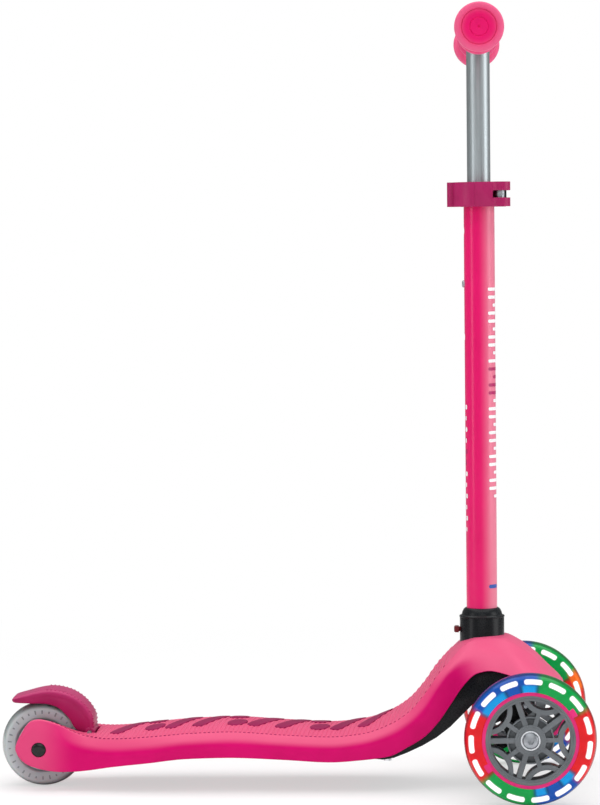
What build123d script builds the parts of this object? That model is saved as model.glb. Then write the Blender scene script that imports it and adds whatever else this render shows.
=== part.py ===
from build123d import *
import math
import os

os.makedirs("parts", exist_ok=True)

# Three-wheeled lean-to-steer kick scooter for a small child. Millimetres; +X forward, +Y left, +Z up.
# The origin is on the ground, under the middle of the bounding box.

# ---- Driving dimensions ----
FRONT_WHEEL_R = 60.5
FRONT_WHEEL_HALF_W = 12.0
REAR_WHEEL_R = 40.0
REAR_WHEEL_HALF_W = 14.0
WHEELBASE = 460.1
TRACK_HALF = 120.0
OVERALL_LENGTH = WHEELBASE + FRONT_WHEEL_R + REAR_WHEEL_R
FRONT_AXLE_X = OVERALL_LENGTH / 2 - FRONT_WHEEL_R
REAR_AXLE_X = REAR_WHEEL_R - OVERALL_LENGTH / 2
COLUMN_X = FRONT_AXLE_X - 42.0
BAR_Z = 706.5
BAR_HALF = 131.0
GRIP_END_Y = 137.5
GRIP_DISC_R = 22.5

LOWER_TUBE_R = 14.5
LOWER_TUBE_BORE_R = 12.6
LOWER_TUBE_Z = (103.0, 566.0)
UPPER_TUBE_R = 11.0
UPPER_TUBE_BORE_R = 9.5
UPPER_TUBE_BOTTOM_Z = 415.0
SNAP_Z = 474.0
HEIGHT_STEP = 50.0
SNAP_R = 3.4
SLIT_DEPTH = 34.0
LATCH_Z = 147.5

CLAMP_Z = (546.5, 569.5)
CLAMP_BOLT_Z = 558.0
CLAMP_BOLT_R = 2.5
CLAMP_PIN_X = COLUMN_X + 19.5
CLAMP_PIN_Y = -23.0
CLAMP_PIN_R = 4.5
CLAMP_SLOT_H = 6.8
COLLAR_R = 18.5

SOCKET_R = 21.0
SOCKET_BORE_R = 14.7
SOCKET_Z = (98.0, 159.0)
SOCKET_CAP_TOP_Z = 168.0

FORK_INNER_Y = 20.0
FORK_OUTER_Y = 44.5
BRAKE_HALF_W = 19.5
BRAKE_HINGE = (-194.5, 53.0)
BRAKE_PIN_R = 2.0

KINGPIN_RAKE = math.radians(25.0)
KINGPIN_AT = (205.0, 86.0, 72.0)
KINGPIN_R = 4.0
BOSS_R = 10.0
BOSS_HALF = 12.0
SPRING_GAP = 6.0
EAR_T = 6.0
STEERING_ARM = 34.0
TIE_PIN_R = 3.0
OPEN_PIVOT_R = 3.4
KINGPIN_BUSH_R = 6.03
BEARING_R = 11.0
BEARING_W = 7.0
AXLE_R = 4.0

RUN = 0.06   # radial clearance of a running fit
TIGHT = 0.02   # radial clearance of a fixed fit
AXLE_FIT = 0.05   # radial clearance of an axle in its seats
GAP = 0.3    # clearance between neighbouring moving pieces
WALL = 3.5   # moulded wall thickness

RIB_HALF_T = 1.0
POST_R = 4.5
SCREW_R = 1.9
SCREW_HEAD_R = 3.6
AXLE_CAP_R = 6.7
AXLE_CAP_RECESS_R = 7.0
AXLE_CAP_DEPTH = 4.0
REAR_HUB_R = 24.0

# Cross-sections of the deck moulding, from the tail to the nose:
# x, roof height, seam half-width and height, shoulder half-width and height, skirt half-width and
# height, and the roof's thickness measured straight down.
DECK = [
    (-197, 54.0, 40, 54.0, 47, 43.0, 45, 19.5, 4.0),
    (-172, 53.5, 45, 50.5, 52, 38.5, 50, 24.0, 4.0),
    (-135, 57.5, 49, 52.5, 56.5, 41.5, 54.5, 28.5, 4.0),
    (-100, 60.5, 50, 55.5, 58, 47.0, 56, 32.5, 4.0),
    (-60, 62.0, 50, 57.0, 58, 48.5, 56, 33.5, 4.0),
    (-10, 59.0, 50, 54.0, 58, 46.0, 56, 31.5, 4.0),
    (35, 57.0, 50, 52.0, 58, 44.0, 56, 29.0, 4.0),
    (65, 60.0, 50, 55.0, 58, 47.5, 56, 31.0, 4.5),
    (90, 67.5, 50, 63.5, 58, 55.0, 56, 34.5, 5.0),
    (108, 77.5, 50, 75.0, 58, 65.0, 56, 43.5, 6.0),
    (122, 92.0, 49.5, 90.5, 57.5, 78.0, 56, 52.0, 7.0),
    (135, 110.0, 48, 109.0, 57, 99.0, 56, 65.0, 7.0),
    (147, 126.0, 42, 122.0, 55, 116.0, 56, 82.0, 7.0),
    (160, 138.0, 32, 135.0, 50, 127.0, 57, 101.0, 6.0),
    (172, 142.5, 27, 141.0, 46, 130.0, 58, 112.0, 4.5),
    (185, 143.5, 26, 142.0, 46, 131.0, 62, 115.0, 4.0),
    (200, 142.5, 28, 140.0, 54, 128.0, 70, 112.5, 4.0),
    (213, 136.5, 31, 133.5, 62, 122.5, 80, 108.5, 4.5),
    (227, 126.0, 31, 123.5, 64, 115.0, 84, 104.0, 5.0),
    (240, 113.0, 27, 111.0, 56, 107.0, 72, 101.0, 5.5),
    (250, 103.0, 20, 102.3, 38, 100.6, 50, 98.5, 5.5),
    (254, 98.0, 14, 97.6, 26, 97.0, 34, 96.0, 5.5),
]


# ---- Helpers ----
def export(node, shape):
    export_step(shape, f"parts/{node}.step")


def group(shapes):
    return Compound(children=list(shapes))


def cylinder_z(radius, z0, z1, x=0.0, y=0.0):
    return Pos(x, y, (z0 + z1) / 2) * Cylinder(radius, abs(z1 - z0))


def cylinder_y(radius, y0, y1, x=0.0, z=0.0):
    return Pos(x, (y0 + y1) / 2, z) * Rot(90, 0, 0) * Cylinder(radius, abs(y1 - y0))


def cylinder_x(radius, x0, x1, y=0.0, z=0.0):
    return Pos((x0 + x1) / 2, y, z) * Rot(0, 90, 0) * Cylinder(radius, abs(x1 - x0))


def block(low, high):
    size = [high[i] - low[i] for i in range(3)]
    centre = [(high[i] + low[i]) / 2 for i in range(3)]
    return Pos(*centre) * Box(*size)


def side_plate(points, y0, y1):
    """A plate with an outline in the XZ plane, from y0 to y1."""
    outline = Polyline([(x, y0, z) for x, z in points], close=True)
    return extrude(make_face(outline), amount=y1 - y0, dir=(0, 1, 0))


def turned_y(points):
    """A solid of revolution about the Y axis from (radius, y) points."""
    return revolve(make_face(Polyline(points, close=True)), axis=Axis.Y)


def turned_z(points):
    """A solid of revolution about the Z axis from (radius, z) points."""
    outline = Polyline([(r, 0, z) for r, z in points], close=True)
    return revolve(make_face(outline), axis=Axis.Z)


def mirrored(shape):
    return mirror(shape, about=Plane.XZ)


def coil(radius, wire, pitch, height, z0):
    path = Pos(0, 0, z0) * Helix(pitch=pitch, height=height, radius=radius)
    section = Plane(origin=path @ 0, z_dir=path % 0) * Circle(wire)
    return sweep(section, path=path, is_frenet=True)


def kingpin_frame():
    """Local Z runs up the raked kingpin, local X forward, local Y to the left."""
    s = math.sin(KINGPIN_RAKE)
    c = math.cos(KINGPIN_RAKE)
    return Plane(origin=KINGPIN_AT, x_dir=(c, 0, s), z_dir=(-s, 0, c)).location


KINGPIN = kingpin_frame()


# ---- Deck moulding ----
def deck_loft(inner=False):
    sections = []
    stations = DECK
    if inner:
        stations = [(DECK[0][0] + 2 * WALL, *DECK[0][1:]), *DECK[1:-1]]
    for x, top, ws, zs, wc, zc, wb, zb, roof in stations:
        if inner:
            top -= roof
            zs -= roof
            ws -= 1.5
            zc -= roof * 0.5
            wc -= WALL
            wb -= WALL
            zb -= 9.0
        half = [(wb, zb), (wc, zc), (ws, zs), (ws / 2, zs + (top - zs) * 0.75)]
        points = [(x, w, z) for w, z in half]
        points.append((x, 0, top))
        points += [(x, -w, z) for w, z in reversed(half)]
        sections.append(make_face(Polyline(points, close=True)))
    return loft(sections, ruled=True)


OUTER = deck_loft()
INNER = deck_loft(inner=True)

FORK_PROFILE = [
    (-188, 53.0), (-206, 57.0), (-221, 64.5), (-231, 68.3), (-240, 70.0), (-246.5, 69.5), (-250.5, 66.5),
    (-262.3, 44.0), (-262.3, 39.0), (-257.5, 30.0), (-248.5, 24.5), (-237, 20.8), (-224, 18.7), (-206, 19.0),
    (-188, 21.2),
]
RIB_X = [-165, -130, -95, -60, -25, 10, 40, 66]
INLAY_COUNT = 10
INLAY_START_X = -158.0
INLAY_PITCH = 26.0
INLAY_SLANT = -24.0
INLAY_HEIGHT = 1.1
SCREW_POSTS = [(88, 38), (88, -38), (214, 32), (214, -32), (238, 22), (238, -22)]


def deck():
    shell = OUTER - INNER
    ribs = []
    for x in RIB_X:
        ribs.append(block((x - RIB_HALF_T, -60, 24), (x + RIB_HALF_T, 60, 80)))
    for y in (-25, 0, 25):
        ribs.append(block((RIB_X[0], y - RIB_HALF_T, 24), (RIB_X[-1], y + RIB_HALF_T, 80)))
    lattice = Part() + ribs
    shell += lattice & INNER & (Pos(0, 0, 2.0) * OUTER)
    for x, y in SCREW_POSTS:
        post = cylinder_z(POST_R, chassis_floor(x) + WALL, 140, x, y) & OUTER
        shell += post - cylinder_z(SCREW_R + AXLE_FIT, 0, chassis_floor(x) + 16, x, y)
    for sign in (1, -1):
        y0, y1 = sorted((sign * FORK_INNER_Y, sign * FORK_OUTER_Y))
        arm = side_plate(FORK_PROFILE, y0, y1)
        shell += chamfer(arm.faces().sort_by(Axis.Y)[-1 if sign > 0 else 0].edges(), 2.0)
    shell -= cylinder_y(AXLE_R + AXLE_FIT, -60, 60, REAR_AXLE_X, REAR_WHEEL_R)
    seat_y = FORK_OUTER_Y - AXLE_CAP_DEPTH
    for y0, y1 in ((seat_y, 60), (-60, -seat_y)):
        shell -= cylinder_y(AXLE_CAP_RECESS_R, y0, y1, REAR_AXLE_X, REAR_WHEEL_R)
    hx, hz = BRAKE_HINGE
    shell -= block((-210, -FORK_INNER_Y, hz - 6.5), (hx + 6.5, FORK_INNER_Y, 90))
    shell -= cylinder_y(BRAKE_PIN_R + TIGHT, -28, 28, hx, hz)
    shell -= cylinder_z(SOCKET_R + 0.2, 90, 170, COLUMN_X)
    return shell


# ---- Raised deck inlays ----
def deck_inlays():
    """A row of slanted bars and solid ovals standing proud of the tread."""
    lifted = Pos(0, 0, INLAY_HEIGHT) * OUTER
    slant = Rot(0, 0, INLAY_SLANT)
    shapes = []
    for i in range(INLAY_COUNT):
        x = INLAY_START_X + i * INLAY_PITCH
        outline = Pos(x, 0) * slant * RectangleRounded(13, 62, 5)
        if i % 3 == 1:
            oval = slant * Ellipse(8.5, 13)
            outline = Pos(x, 17) * oval + Pos(x, -17) * oval
        shapes.append(extrude(outline, 100))
    stamped = [shape & lifted - OUTER for shape in shapes]
    return group(solid for piece in stamped for solid in piece.solids() if solid.volume > 5)


# ---- Black chassis under the hood ----
CHASSIS_BOTTOM = [
    (72, 28.5), (94, 32), (107, 37), (121, 43.5), (134, 51), (147, 61), (158, 72), (168, 82), (182, 87),
]
CHASSIS_NOSE_X = 252.0
CHASSIS_FLAT_Z = 87.0
CHASSIS_HALF_W = 47.0


def chassis_floor(x):
    for (x0, z0), (x1, z1) in zip(CHASSIS_BOTTOM, CHASSIS_BOTTOM[1:]):
        if x0 <= x <= x1:
            return z0 + (z1 - z0) * (x - x0) / (x1 - x0)
    return CHASSIS_FLAT_Z


def chassis_outline(inset):
    top = [(250, 94.5), (243, 103), (232, 113), (220, 119), (166, 119), (154, 112), (140, 96), (128, 82),
           (114, 67), (98, 56), (84, 50), (72, 46)]
    bottom = CHASSIS_BOTTOM + [(240, CHASSIS_FLAT_Z), (CHASSIS_NOSE_X, CHASSIS_FLAT_Z + 4)]
    if inset:
        bottom = [(x + (3 if x < 75 else 0), z + inset) for x, z in bottom[:-1]] + [(246, 92)]
        top = [(x, z + 30) for x, z in top]
    return bottom + top


def under_chassis():
    body = side_plate(chassis_outline(0), -CHASSIS_HALF_W, CHASSIS_HALF_W)
    inner = side_plate(chassis_outline(4.0), WALL - CHASSIS_HALF_W, CHASSIS_HALF_W - WALL)
    body -= inner
    body = body & deck_clear()
    cup = cylinder_z(SOCKET_R + 4, CHASSIS_FLAT_Z, 122, COLUMN_X)
    body += cup - cylinder_z(SOCKET_R + 0.2, SOCKET_Z[0], 170, COLUMN_X)
    arm = block((-8.5, -48, -8.5), (8.5, 0, 8.5))
    boss = Cylinder(BOSS_R, 2 * BOSS_HALF)
    bore = Cylinder(KINGPIN_R + TIGHT, 60)
    left = KINGPIN * (arm + boss - bore)
    body += left
    body += mirrored(left)
    body -= cylinder_z(SOCKET_R + 0.2, SOCKET_Z[0], 170, COLUMN_X)
    for x, y in SCREW_POSTS:
        floor = chassis_floor(x)
        body -= cylinder_z(SCREW_R + 0.2, floor - 8, floor + 10, x, y)
        body -= cylinder_z(POST_R + GAP, floor + WALL, floor + 60, x, y)
    return body


def deck_clear():
    """Space under the roof of the deck, clear of its inner faces."""
    side = 0.6
    above = 0.8
    sections = []
    for x, top, ws, zs, wc, zc, wb, zb, roof in DECK:
        half = [(wb - WALL - side, zb - 60), (wc - WALL - side, zc - roof * 0.5 - above)]
        half.append((ws - 1.5 - side, zs - roof - above))
        points = [(x, w, z) for w, z in half]
        points.append((x, 0, top - roof - above))
        points += [(x, -w, z) for w, z in reversed(half)]
        sections.append(make_face(Polyline(points, close=True)))
    return loft(sections, ruled=True)


# ---- Steering column socket and its release button ----
def bar_socket():
    z0, z1 = SOCKET_Z
    body = cylinder_z(SOCKET_R, z0, z1, COLUMN_X)
    body -= cylinder_z(SOCKET_BORE_R, z0 + 4, z1 + 1, COLUMN_X)
    pocket = block((COLUMN_X - 24, -6.3, LATCH_Z - 3.0), (COLUMN_X - 18.0, 6.3, LATCH_Z + 3.0))
    return body - pocket - cylinder_x(SNAP_R + 0.2, COLUMN_X - 24, COLUMN_X, 0, LATCH_Z)


def socket_cap():
    z0, z1 = SOCKET_Z[1], SOCKET_CAP_TOP_Z
    ring = [(SOCKET_BORE_R, z0), (SOCKET_R + 0.4, z0), (SOCKET_R + 0.4, z0 + 1.4), (19.2, z0 + 2.4),
            (18.6, z0 + 5), (17.2, z0 + 7.6), (15.6, z1), (SOCKET_BORE_R, z1)]
    return Pos(COLUMN_X, 0, 0) * turned_z(ring)


def release_button():
    head = block((COLUMN_X - 26.5, -6.0, LATCH_Z - 2.7), (COLUMN_X - 22.0, 6.0, LATCH_Z + 2.7))
    head = fillet(head.faces().sort_by(Axis.X)[0].edges(), 1.5)
    return head + cylinder_x(2.4, COLUMN_X - 22.0, COLUMN_X - 17.8, 0, LATCH_Z)


def leaf_clip(reach, drop, z):
    """A sprung V of flat strip inside a tube, with its apex below the button."""
    outline = [(-reach, z + 5), (-reach, z - 8), (0, z - drop), (reach, z - 8), (reach, z + 5)]
    inside = [(x * 0.87, pz + 1.6) for x, pz in reversed(outline)]
    inside[0] = (reach * 0.87, z + 5)
    inside[-1] = (-reach * 0.87, z + 5)
    return Pos(COLUMN_X, 0, 0) * side_plate(outline + inside, -3.0, 3.0)


def latch_clip():
    leaf = leaf_clip(12.0, 26.0, LATCH_Z)
    pin = cylinder_x(SNAP_R, COLUMN_X - 17.4, COLUMN_X - 11.8, 0, LATCH_Z)
    return (leaf + pin) & cylinder_x(30, COLUMN_X - 17.4, COLUMN_X + LOWER_TUBE_BORE_R - 0.3, 0, LATCH_Z)


# ---- Column ----
def lower_tube():
    z0, z1 = LOWER_TUBE_Z
    body = cylinder_z(LOWER_TUBE_R, z0, z1, COLUMN_X)
    body -= cylinder_z(LOWER_TUBE_BORE_R, z0 - 1, z1 + 1, COLUMN_X)
    for z in (SNAP_Z - HEIGHT_STEP, SNAP_Z, SNAP_Z + HEIGHT_STEP, LATCH_Z):
        body -= cylinder_x(SNAP_R + 0.2, COLUMN_X - 20, COLUMN_X, 0, z)
    slit = block((COLUMN_X, -1.2, z1 - SLIT_DEPTH), (COLUMN_X + 20, 1.2, z1 + 1))
    return body - slit


def top_bush():
    z1 = LOWER_TUBE_Z[1]
    ring = [(UPPER_TUBE_R + RUN, z1 - SLIT_DEPTH), (LOWER_TUBE_BORE_R - TIGHT, z1 - SLIT_DEPTH),
            (LOWER_TUBE_BORE_R - TIGHT, z1), (14.2, z1), (14.2, z1 + 2.5), (UPPER_TUBE_R + RUN, z1 + 2.5)]
    return Pos(COLUMN_X, 0, 0) * turned_z(ring)


def clamp_collar():
    z0, z1 = CLAMP_Z
    ring = cylinder_z(COLLAR_R, z0, z1, COLUMN_X)
    ears = block((COLUMN_X + 10, -11, z0), (COLUMN_X + 26, 11, z1))
    body = ring + ears - cylinder_z(LOWER_TUBE_R + 0.03, z0 - 1, z1 + 1, COLUMN_X)
    body -= block((COLUMN_X + 12, -1.5, z0 - 1), (COLUMN_X + 30, 1.5, z1 + 1))
    half = CLAMP_SLOT_H / 2
    body -= block((CLAMP_PIN_X - 2.7, -12, CLAMP_BOLT_Z - half), (COLUMN_X + 30, 0, CLAMP_BOLT_Z + half))
    body -= block((CLAMP_PIN_X - 2.7, 0, CLAMP_BOLT_Z - half), (COLUMN_X + 23.4, 12, CLAMP_BOLT_Z + half))
    return body


def clamp_bolt():
    return cylinder_y(CLAMP_BOLT_R, CLAMP_PIN_Y - 6.0, 15.5, CLAMP_PIN_X, CLAMP_BOLT_Z)


def clamp_nut():
    hexagon = extrude(RegularPolygon(4.6, 6), 4.0)
    nut = Pos(CLAMP_PIN_X, 15.0, CLAMP_BOLT_Z) * Rot(90, 0, 0) * hexagon
    return nut - cylinder_y(CLAMP_BOLT_R + 0.01, 10, 16, CLAMP_PIN_X, CLAMP_BOLT_Z)


def cam_pin():
    pin = cylinder_z(CLAMP_PIN_R, CLAMP_Z[0] + 0.8, CLAMP_Z[1] - 0.8, CLAMP_PIN_X, CLAMP_PIN_Y)
    return pin - cylinder_y(CLAMP_BOLT_R + 0.01, -30, -10, CLAMP_PIN_X, CLAMP_BOLT_Z)


def cam_washer():
    plate = block((COLUMN_X + 15.3, -12.6, CLAMP_Z[0] + 2), (COLUMN_X + 25.7, -11.0, CLAMP_Z[1] - 2))
    return plate - cylinder_y(CLAMP_BOLT_R + 0.1, -14, -10, CLAMP_PIN_X, CLAMP_BOLT_Z)


def clamp_lever():
    """A cam end pivoting on the cam pin, and a curved handle that wraps the left side to the rear."""
    z0, z1 = CLAMP_Z
    px, py = CLAMP_PIN_X - COLUMN_X, CLAMP_PIN_Y
    cam_r = 9.6
    band = Circle(25.2) - Circle(COLLAR_R + 0.7)
    wedge = make_face(Polyline([(0, 0), (40, -62), (-60, -60), (-60, -4), (-30, 3)], close=True))
    plan = (band & wedge) + Pos(px, py) * Circle(cam_r) + Pos(-25.3, -2.5) * Circle(4.7)
    plan += make_face(Polyline([(px, py - cam_r), (-4, -25.2), (4, -20.0), (px - 6, py + 7)], close=True))
    plan -= Circle(COLLAR_R + 0.6)
    body = Pos(COLUMN_X, 0, z0) * extrude(plan, z1 - z0)
    half = CLAMP_SLOT_H / 2
    body -= block((CLAMP_PIN_X - 6.9, -40, CLAMP_BOLT_Z - half), (CLAMP_PIN_X + 20, -10, CLAMP_BOLT_Z + half))
    return body - cylinder_z(CLAMP_PIN_R + RUN, z0 - 1, z1 + 1, CLAMP_PIN_X, CLAMP_PIN_Y)


# ---- Telescopic handlebar ----
def crossbar():
    bar = cylinder_y(UPPER_TUBE_R, -BAR_HALF, BAR_HALF, COLUMN_X, BAR_Z)
    return bar - cylinder_y(UPPER_TUBE_BORE_R, -BAR_HALF - 1, BAR_HALF + 1, COLUMN_X, BAR_Z)


def upper_tube():
    body = cylinder_z(UPPER_TUBE_R, UPPER_TUBE_BOTTOM_Z, BAR_Z, COLUMN_X)
    body -= cylinder_z(UPPER_TUBE_BORE_R, UPPER_TUBE_BOTTOM_Z - 1, BAR_Z + 1, COLUMN_X)
    body -= cylinder_y(UPPER_TUBE_R, -40, 40, COLUMN_X, BAR_Z)
    body = body.solids().sort_by(SortBy.VOLUME)[-1]
    return body - cylinder_x(SNAP_R + 0.1, COLUMN_X - 20, COLUMN_X, 0, SNAP_Z)


def grip():
    y0, y1 = 36.0, GRIP_END_Y
    r = GRIP_DISC_R
    profile = [(UPPER_TUBE_R + TIGHT, y0), (18.5, y0), (19.5, y0 + 1.5), (19.5, y0 + 4.5), (15.0, y0 + 8)]
    ribs = 12
    pitch = (y1 - 14 - (y0 + 8)) / ribs
    for i in range(ribs):
        y = y0 + 8 + i * pitch
        profile += [(15.0, y + 0.2), (15.8, y + 0.4 * pitch)]
        profile += [(15.8, y + 0.7 * pitch), (15.0, y + pitch - 0.2)]
    profile += [(17.5, y1 - 11), (r - 1.5, y1 - 9.5), (r, y1 - 7)]
    profile += [(r, y1 - 4), (r - 1.5, y1 - 1), (r - 4, y1)]
    profile += [(16.6, y1 - 0.4), (15.8, y1 - 1.4), (9.0, y1 - 1.6), (8.0, y1 - 2.4), (0, y1 - 2.4)]
    profile += [(0, BAR_HALF + AXLE_FIT), (UPPER_TUBE_R + TIGHT, BAR_HALF + AXLE_FIT)]
    return Pos(COLUMN_X, 0, BAR_Z) * turned_y(profile)


def foot_bush():
    z0 = UPPER_TUBE_BOTTOM_Z
    ring = [(0, z0 - 4), (LOWER_TUBE_BORE_R - RUN, z0 - 4), (LOWER_TUBE_BORE_R - RUN, z0 + 26),
            (UPPER_TUBE_R + TIGHT, z0 + 26), (UPPER_TUBE_R + TIGHT, z0), (0, z0)]
    return Pos(COLUMN_X, 0, 0) * turned_z(ring)


def snap_button():
    stem = cylinder_x(SNAP_R, COLUMN_X - 16.5, COLUMN_X - 7.4, 0, SNAP_Z)
    stem = fillet(stem.faces().sort_by(Axis.X)[0].edges(), 1.6)
    return stem + cylinder_x(4.4, COLUMN_X - 8.2, COLUMN_X - 7.4, 0, SNAP_Z)


def snap_spring():
    return leaf_clip(7.3, 24.0, SNAP_Z) & cylinder_z(UPPER_TUBE_BORE_R - 0.1, 400, 520, COLUMN_X)


# ---- Wheel bearings ----
def bearing_pair(inner_y):
    """Two ball bearings that face each other across a spacer."""
    bore = AXLE_R + AXLE_FIT
    edge = BEARING_R - 0.01
    bearing = turned_y([(bore, 0), (edge, 0), (edge, BEARING_W), (bore, BEARING_W)])
    return group([Pos(0, inner_y, 0) * bearing, Pos(0, -inner_y - BEARING_W, 0) * bearing])


def bearing_spacer(inner_y):
    return cylinder_y(6.0, -inner_y, inner_y) - cylinder_y(AXLE_R + AXLE_FIT, -inner_y - 1, inner_y + 1)


# ---- Rear wheel, axle and brake ----
def rear_wheel_solids():
    w = REAR_WHEEL_HALF_W
    r = REAR_WHEEL_R
    near = [(REAR_HUB_R, -w + 2), (27, -w), (32, -w), (36.5, -w + 2.2), (39.2, -w + 6.5), (r, -w + 11)]
    far = [(radius, -y) for radius, y in reversed(near)]
    tyre = turned_y(near + far)
    hub = cylinder_y(REAR_HUB_R, 2 - w, w - 2) - cylinder_y(19.5, 3, w) - cylinder_y(19.5, -w, -3)
    hub += cylinder_y(13.5, -w + 0.5, w - 0.5)
    hub -= cylinder_y(7.5, -w, w)
    for sign in (1, -1):
        hub -= cylinder_y(BEARING_R, sign * (w - 0.5 - BEARING_W), sign * w)
    for i in range(8):
        hub -= Rot(0, i * 45.0, 0) * cylinder_y(2.4, -4, 4, 16.5, 0)
    inner_y = w - 0.5 - BEARING_W
    at = Pos(REAR_AXLE_X, 0, REAR_WHEEL_R)
    return at * tyre, at * hub, at * bearing_pair(inner_y), at * bearing_spacer(inner_y)


def rear_axle():
    end = FORK_OUTER_Y - AXLE_CAP_DEPTH
    body = cylinder_y(AXLE_R, -end, end, REAR_AXLE_X, REAR_WHEEL_R)
    for sign in (1, -1):
        body += cylinder_y(6.2, sign * end, sign * (end + 2.0), REAR_AXLE_X, REAR_WHEEL_R)
        collar_y = sign * (REAR_WHEEL_HALF_W - GAP)
        body += cylinder_y(6.5, collar_y, sign * FORK_INNER_Y, REAR_AXLE_X, REAR_WHEEL_R)
    return body


def axle_caps():
    y = FORK_OUTER_Y
    cap = turned_y([(0, y - 1.9), (AXLE_CAP_R, y - 1.9), (AXLE_CAP_R, y - 0.4), (5.4, y + 0.5), (0, y + 1.0)])
    cap = Pos(REAR_AXLE_X, 0, REAR_WHEEL_R) * cap
    return group([cap, mirrored(cap)])


def rear_brake():
    """Channel-section foot brake: a ridged saddle over the wheel, its skirts, and a barrel hinge in front."""
    top = [
        (-268.6, 84.5), (-255, 88.2), (-246.5, 90.8), (-241, 93.2), (-233, 93.8), (-225, 93.2),
        (-217.5, 91.2), (-209.5, 87.6), (-203, 83.0), (-198, 78.0), (-193.5, 72.2), (-190.8, 67.0),
        (-191.0, 62.5), (-190.2, 57.0),
    ]
    hx, hz = BRAKE_HINGE
    skirt = top + [(hx + 4.3, hz), (hx - 4.3, hz), (-209.5, 57.5), (-213, 64.0), (-217, 69.3), (-223.5, 75.3),
                   (-230, 78.4), (-238, 80.0), (-252, 80.2), (-260, 81.2), (-266, 83.0)]
    body = side_plate(skirt, -BRAKE_HALF_W, BRAKE_HALF_W)
    body += cylinder_y(4.5, -BRAKE_HALF_W, BRAKE_HALF_W, hx, hz)
    body -= cylinder_y(REAR_WHEEL_R + 4.4, -16.5, 16.5, REAR_AXLE_X, REAR_WHEEL_R)
    for x, z in top[3:12]:
        body -= cylinder_y(0.7, -15, 15, x, z + 0.3)
    body -= cylinder_y(4.8, -4.6, 4.6, hx, hz)
    return body - cylinder_y(BRAKE_PIN_R + RUN, -30, 30, hx, hz)


def brake_pad():
    """A thin steel strip under the saddle that rubs the tyre."""
    r = REAR_WHEEL_R
    strip = cylinder_y(r + 4.35, -12, 12, REAR_AXLE_X, r) - cylinder_y(r + 3.3, -13, 13, REAR_AXLE_X, r)
    wedge = side_plate([(REAR_AXLE_X, r), (REAR_AXLE_X - 14, r + 60), (REAR_AXLE_X + 42, r + 60)], -20, 20)
    return strip & wedge


def brake_pin():
    return cylinder_y(BRAKE_PIN_R, -26, 26, *BRAKE_HINGE)


def brake_spring():
    """Torsion coil in the hinge recess, around the pin, in a pocket of the barrel."""
    hx, hz = BRAKE_HINGE
    return Pos(hx, 0, hz) * Rot(90, 0, 0) * coil(3.2, 0.5, 1.3, 7.8, -3.9)


# ---- Front suspension and steering ----
EARS_LOW = -BOSS_HALF - GAP - EAR_T
EARS_HIGH = BOSS_HALF + SPRING_GAP + GAP + EAR_T


def knuckle():
    """Two ears round the boss, a web to the stub axle and a steering arm to the rear."""
    low = EARS_LOW
    high = EARS_HIGH
    body = Part()
    for z in (low, high - EAR_T):
        body += block((-10, 0, z), (10, 18, z + EAR_T)) + cylinder_z(10, z, z + EAR_T)
    body += block((-10, 11.8, low), (10, 18, high))
    body += block((-STEERING_ARM, -6, low), (0, 6, low + EAR_T))
    body += cylinder_z(8, low, low + EAR_T, -STEERING_ARM)
    body -= cylinder_z(TIE_PIN_R + TIGHT, low - 1, low + EAR_T + 1, -STEERING_ARM)
    body -= cylinder_z(KINGPIN_BUSH_R + TIGHT, low - 1, high + 1)
    body = KINGPIN * body
    y = KINGPIN_AT[1]
    web = side_plate([(198, 52), (206, 88), (214, 86), (230, 62), (222, 50), (212, 49)], y + 11.8, y + 18)
    body += web
    body += cylinder_y(10, y + 11.8, TRACK_HALF - 14.5, FRONT_AXLE_X, FRONT_WHEEL_R)
    body += cylinder_y(6.2, y + 11.8, TRACK_HALF - BEARING_R - 0.1, FRONT_AXLE_X, FRONT_WHEEL_R)
    body -= KINGPIN * cylinder_z(11.5, -BOSS_HALF - GAP, BOSS_HALF + SPRING_GAP + GAP)
    return body - cylinder_y(AXLE_R + TIGHT, 80, 120, FRONT_AXLE_X, FRONT_WHEEL_R)


def knuckle_bushes():
    bore = cylinder_z(KINGPIN_R + RUN, EARS_LOW - 1, EARS_HIGH + 1)
    lower = cylinder_z(KINGPIN_BUSH_R, EARS_LOW, EARS_LOW + EAR_T) - bore
    upper = cylinder_z(KINGPIN_BUSH_R, EARS_HIGH - EAR_T, EARS_HIGH) - bore
    return group([KINGPIN * lower, KINGPIN * upper])


def kingpin():
    seat = EARS_HIGH + GAP
    return KINGPIN * (cylinder_z(KINGPIN_R, EARS_LOW - 5.5, seat) + cylinder_z(7, seat, seat + 4))


def kingpin_nut():
    nut = Pos(0, 0, EARS_LOW - 5.0 - GAP) * extrude(RegularPolygon(7, 6), 5.0)
    return KINGPIN * (nut - cylinder_z(KINGPIN_R + 0.01, EARS_LOW - 6, EARS_LOW))


def centring_spring():
    wire = 0.8
    z0 = BOSS_HALF + wire + 0.15
    return KINGPIN * coil(7.8, wire, 2.0, SPRING_GAP - 2 * wire - 0.1, z0)


def tie_rod():
    z0 = -BOSS_HALF
    y = KINGPIN_AT[1]
    bar = block((-STEERING_ARM - 5, -2 * y, z0), (-STEERING_ARM + 5, 0, z0 + 5))
    for centre in (0, -2 * y):
        bar += cylinder_z(7, z0, z0 + 5, -STEERING_ARM, centre)
    bar -= cylinder_z(TIE_PIN_R + RUN, z0 - 1, z0 + 6, -STEERING_ARM, 0)
    bar -= cylinder_z(OPEN_PIVOT_R, z0 - 1, z0 + 6, -STEERING_ARM, -2 * y)
    return KINGPIN * bar


def tie_pin():
    pin = cylinder_z(TIE_PIN_R, EARS_LOW, -BOSS_HALF + 5.3, -STEERING_ARM)
    return KINGPIN * (pin + cylinder_z(5, -BOSS_HALF + 5.3, -BOSS_HALF + 7.3, -STEERING_ARM))


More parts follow.
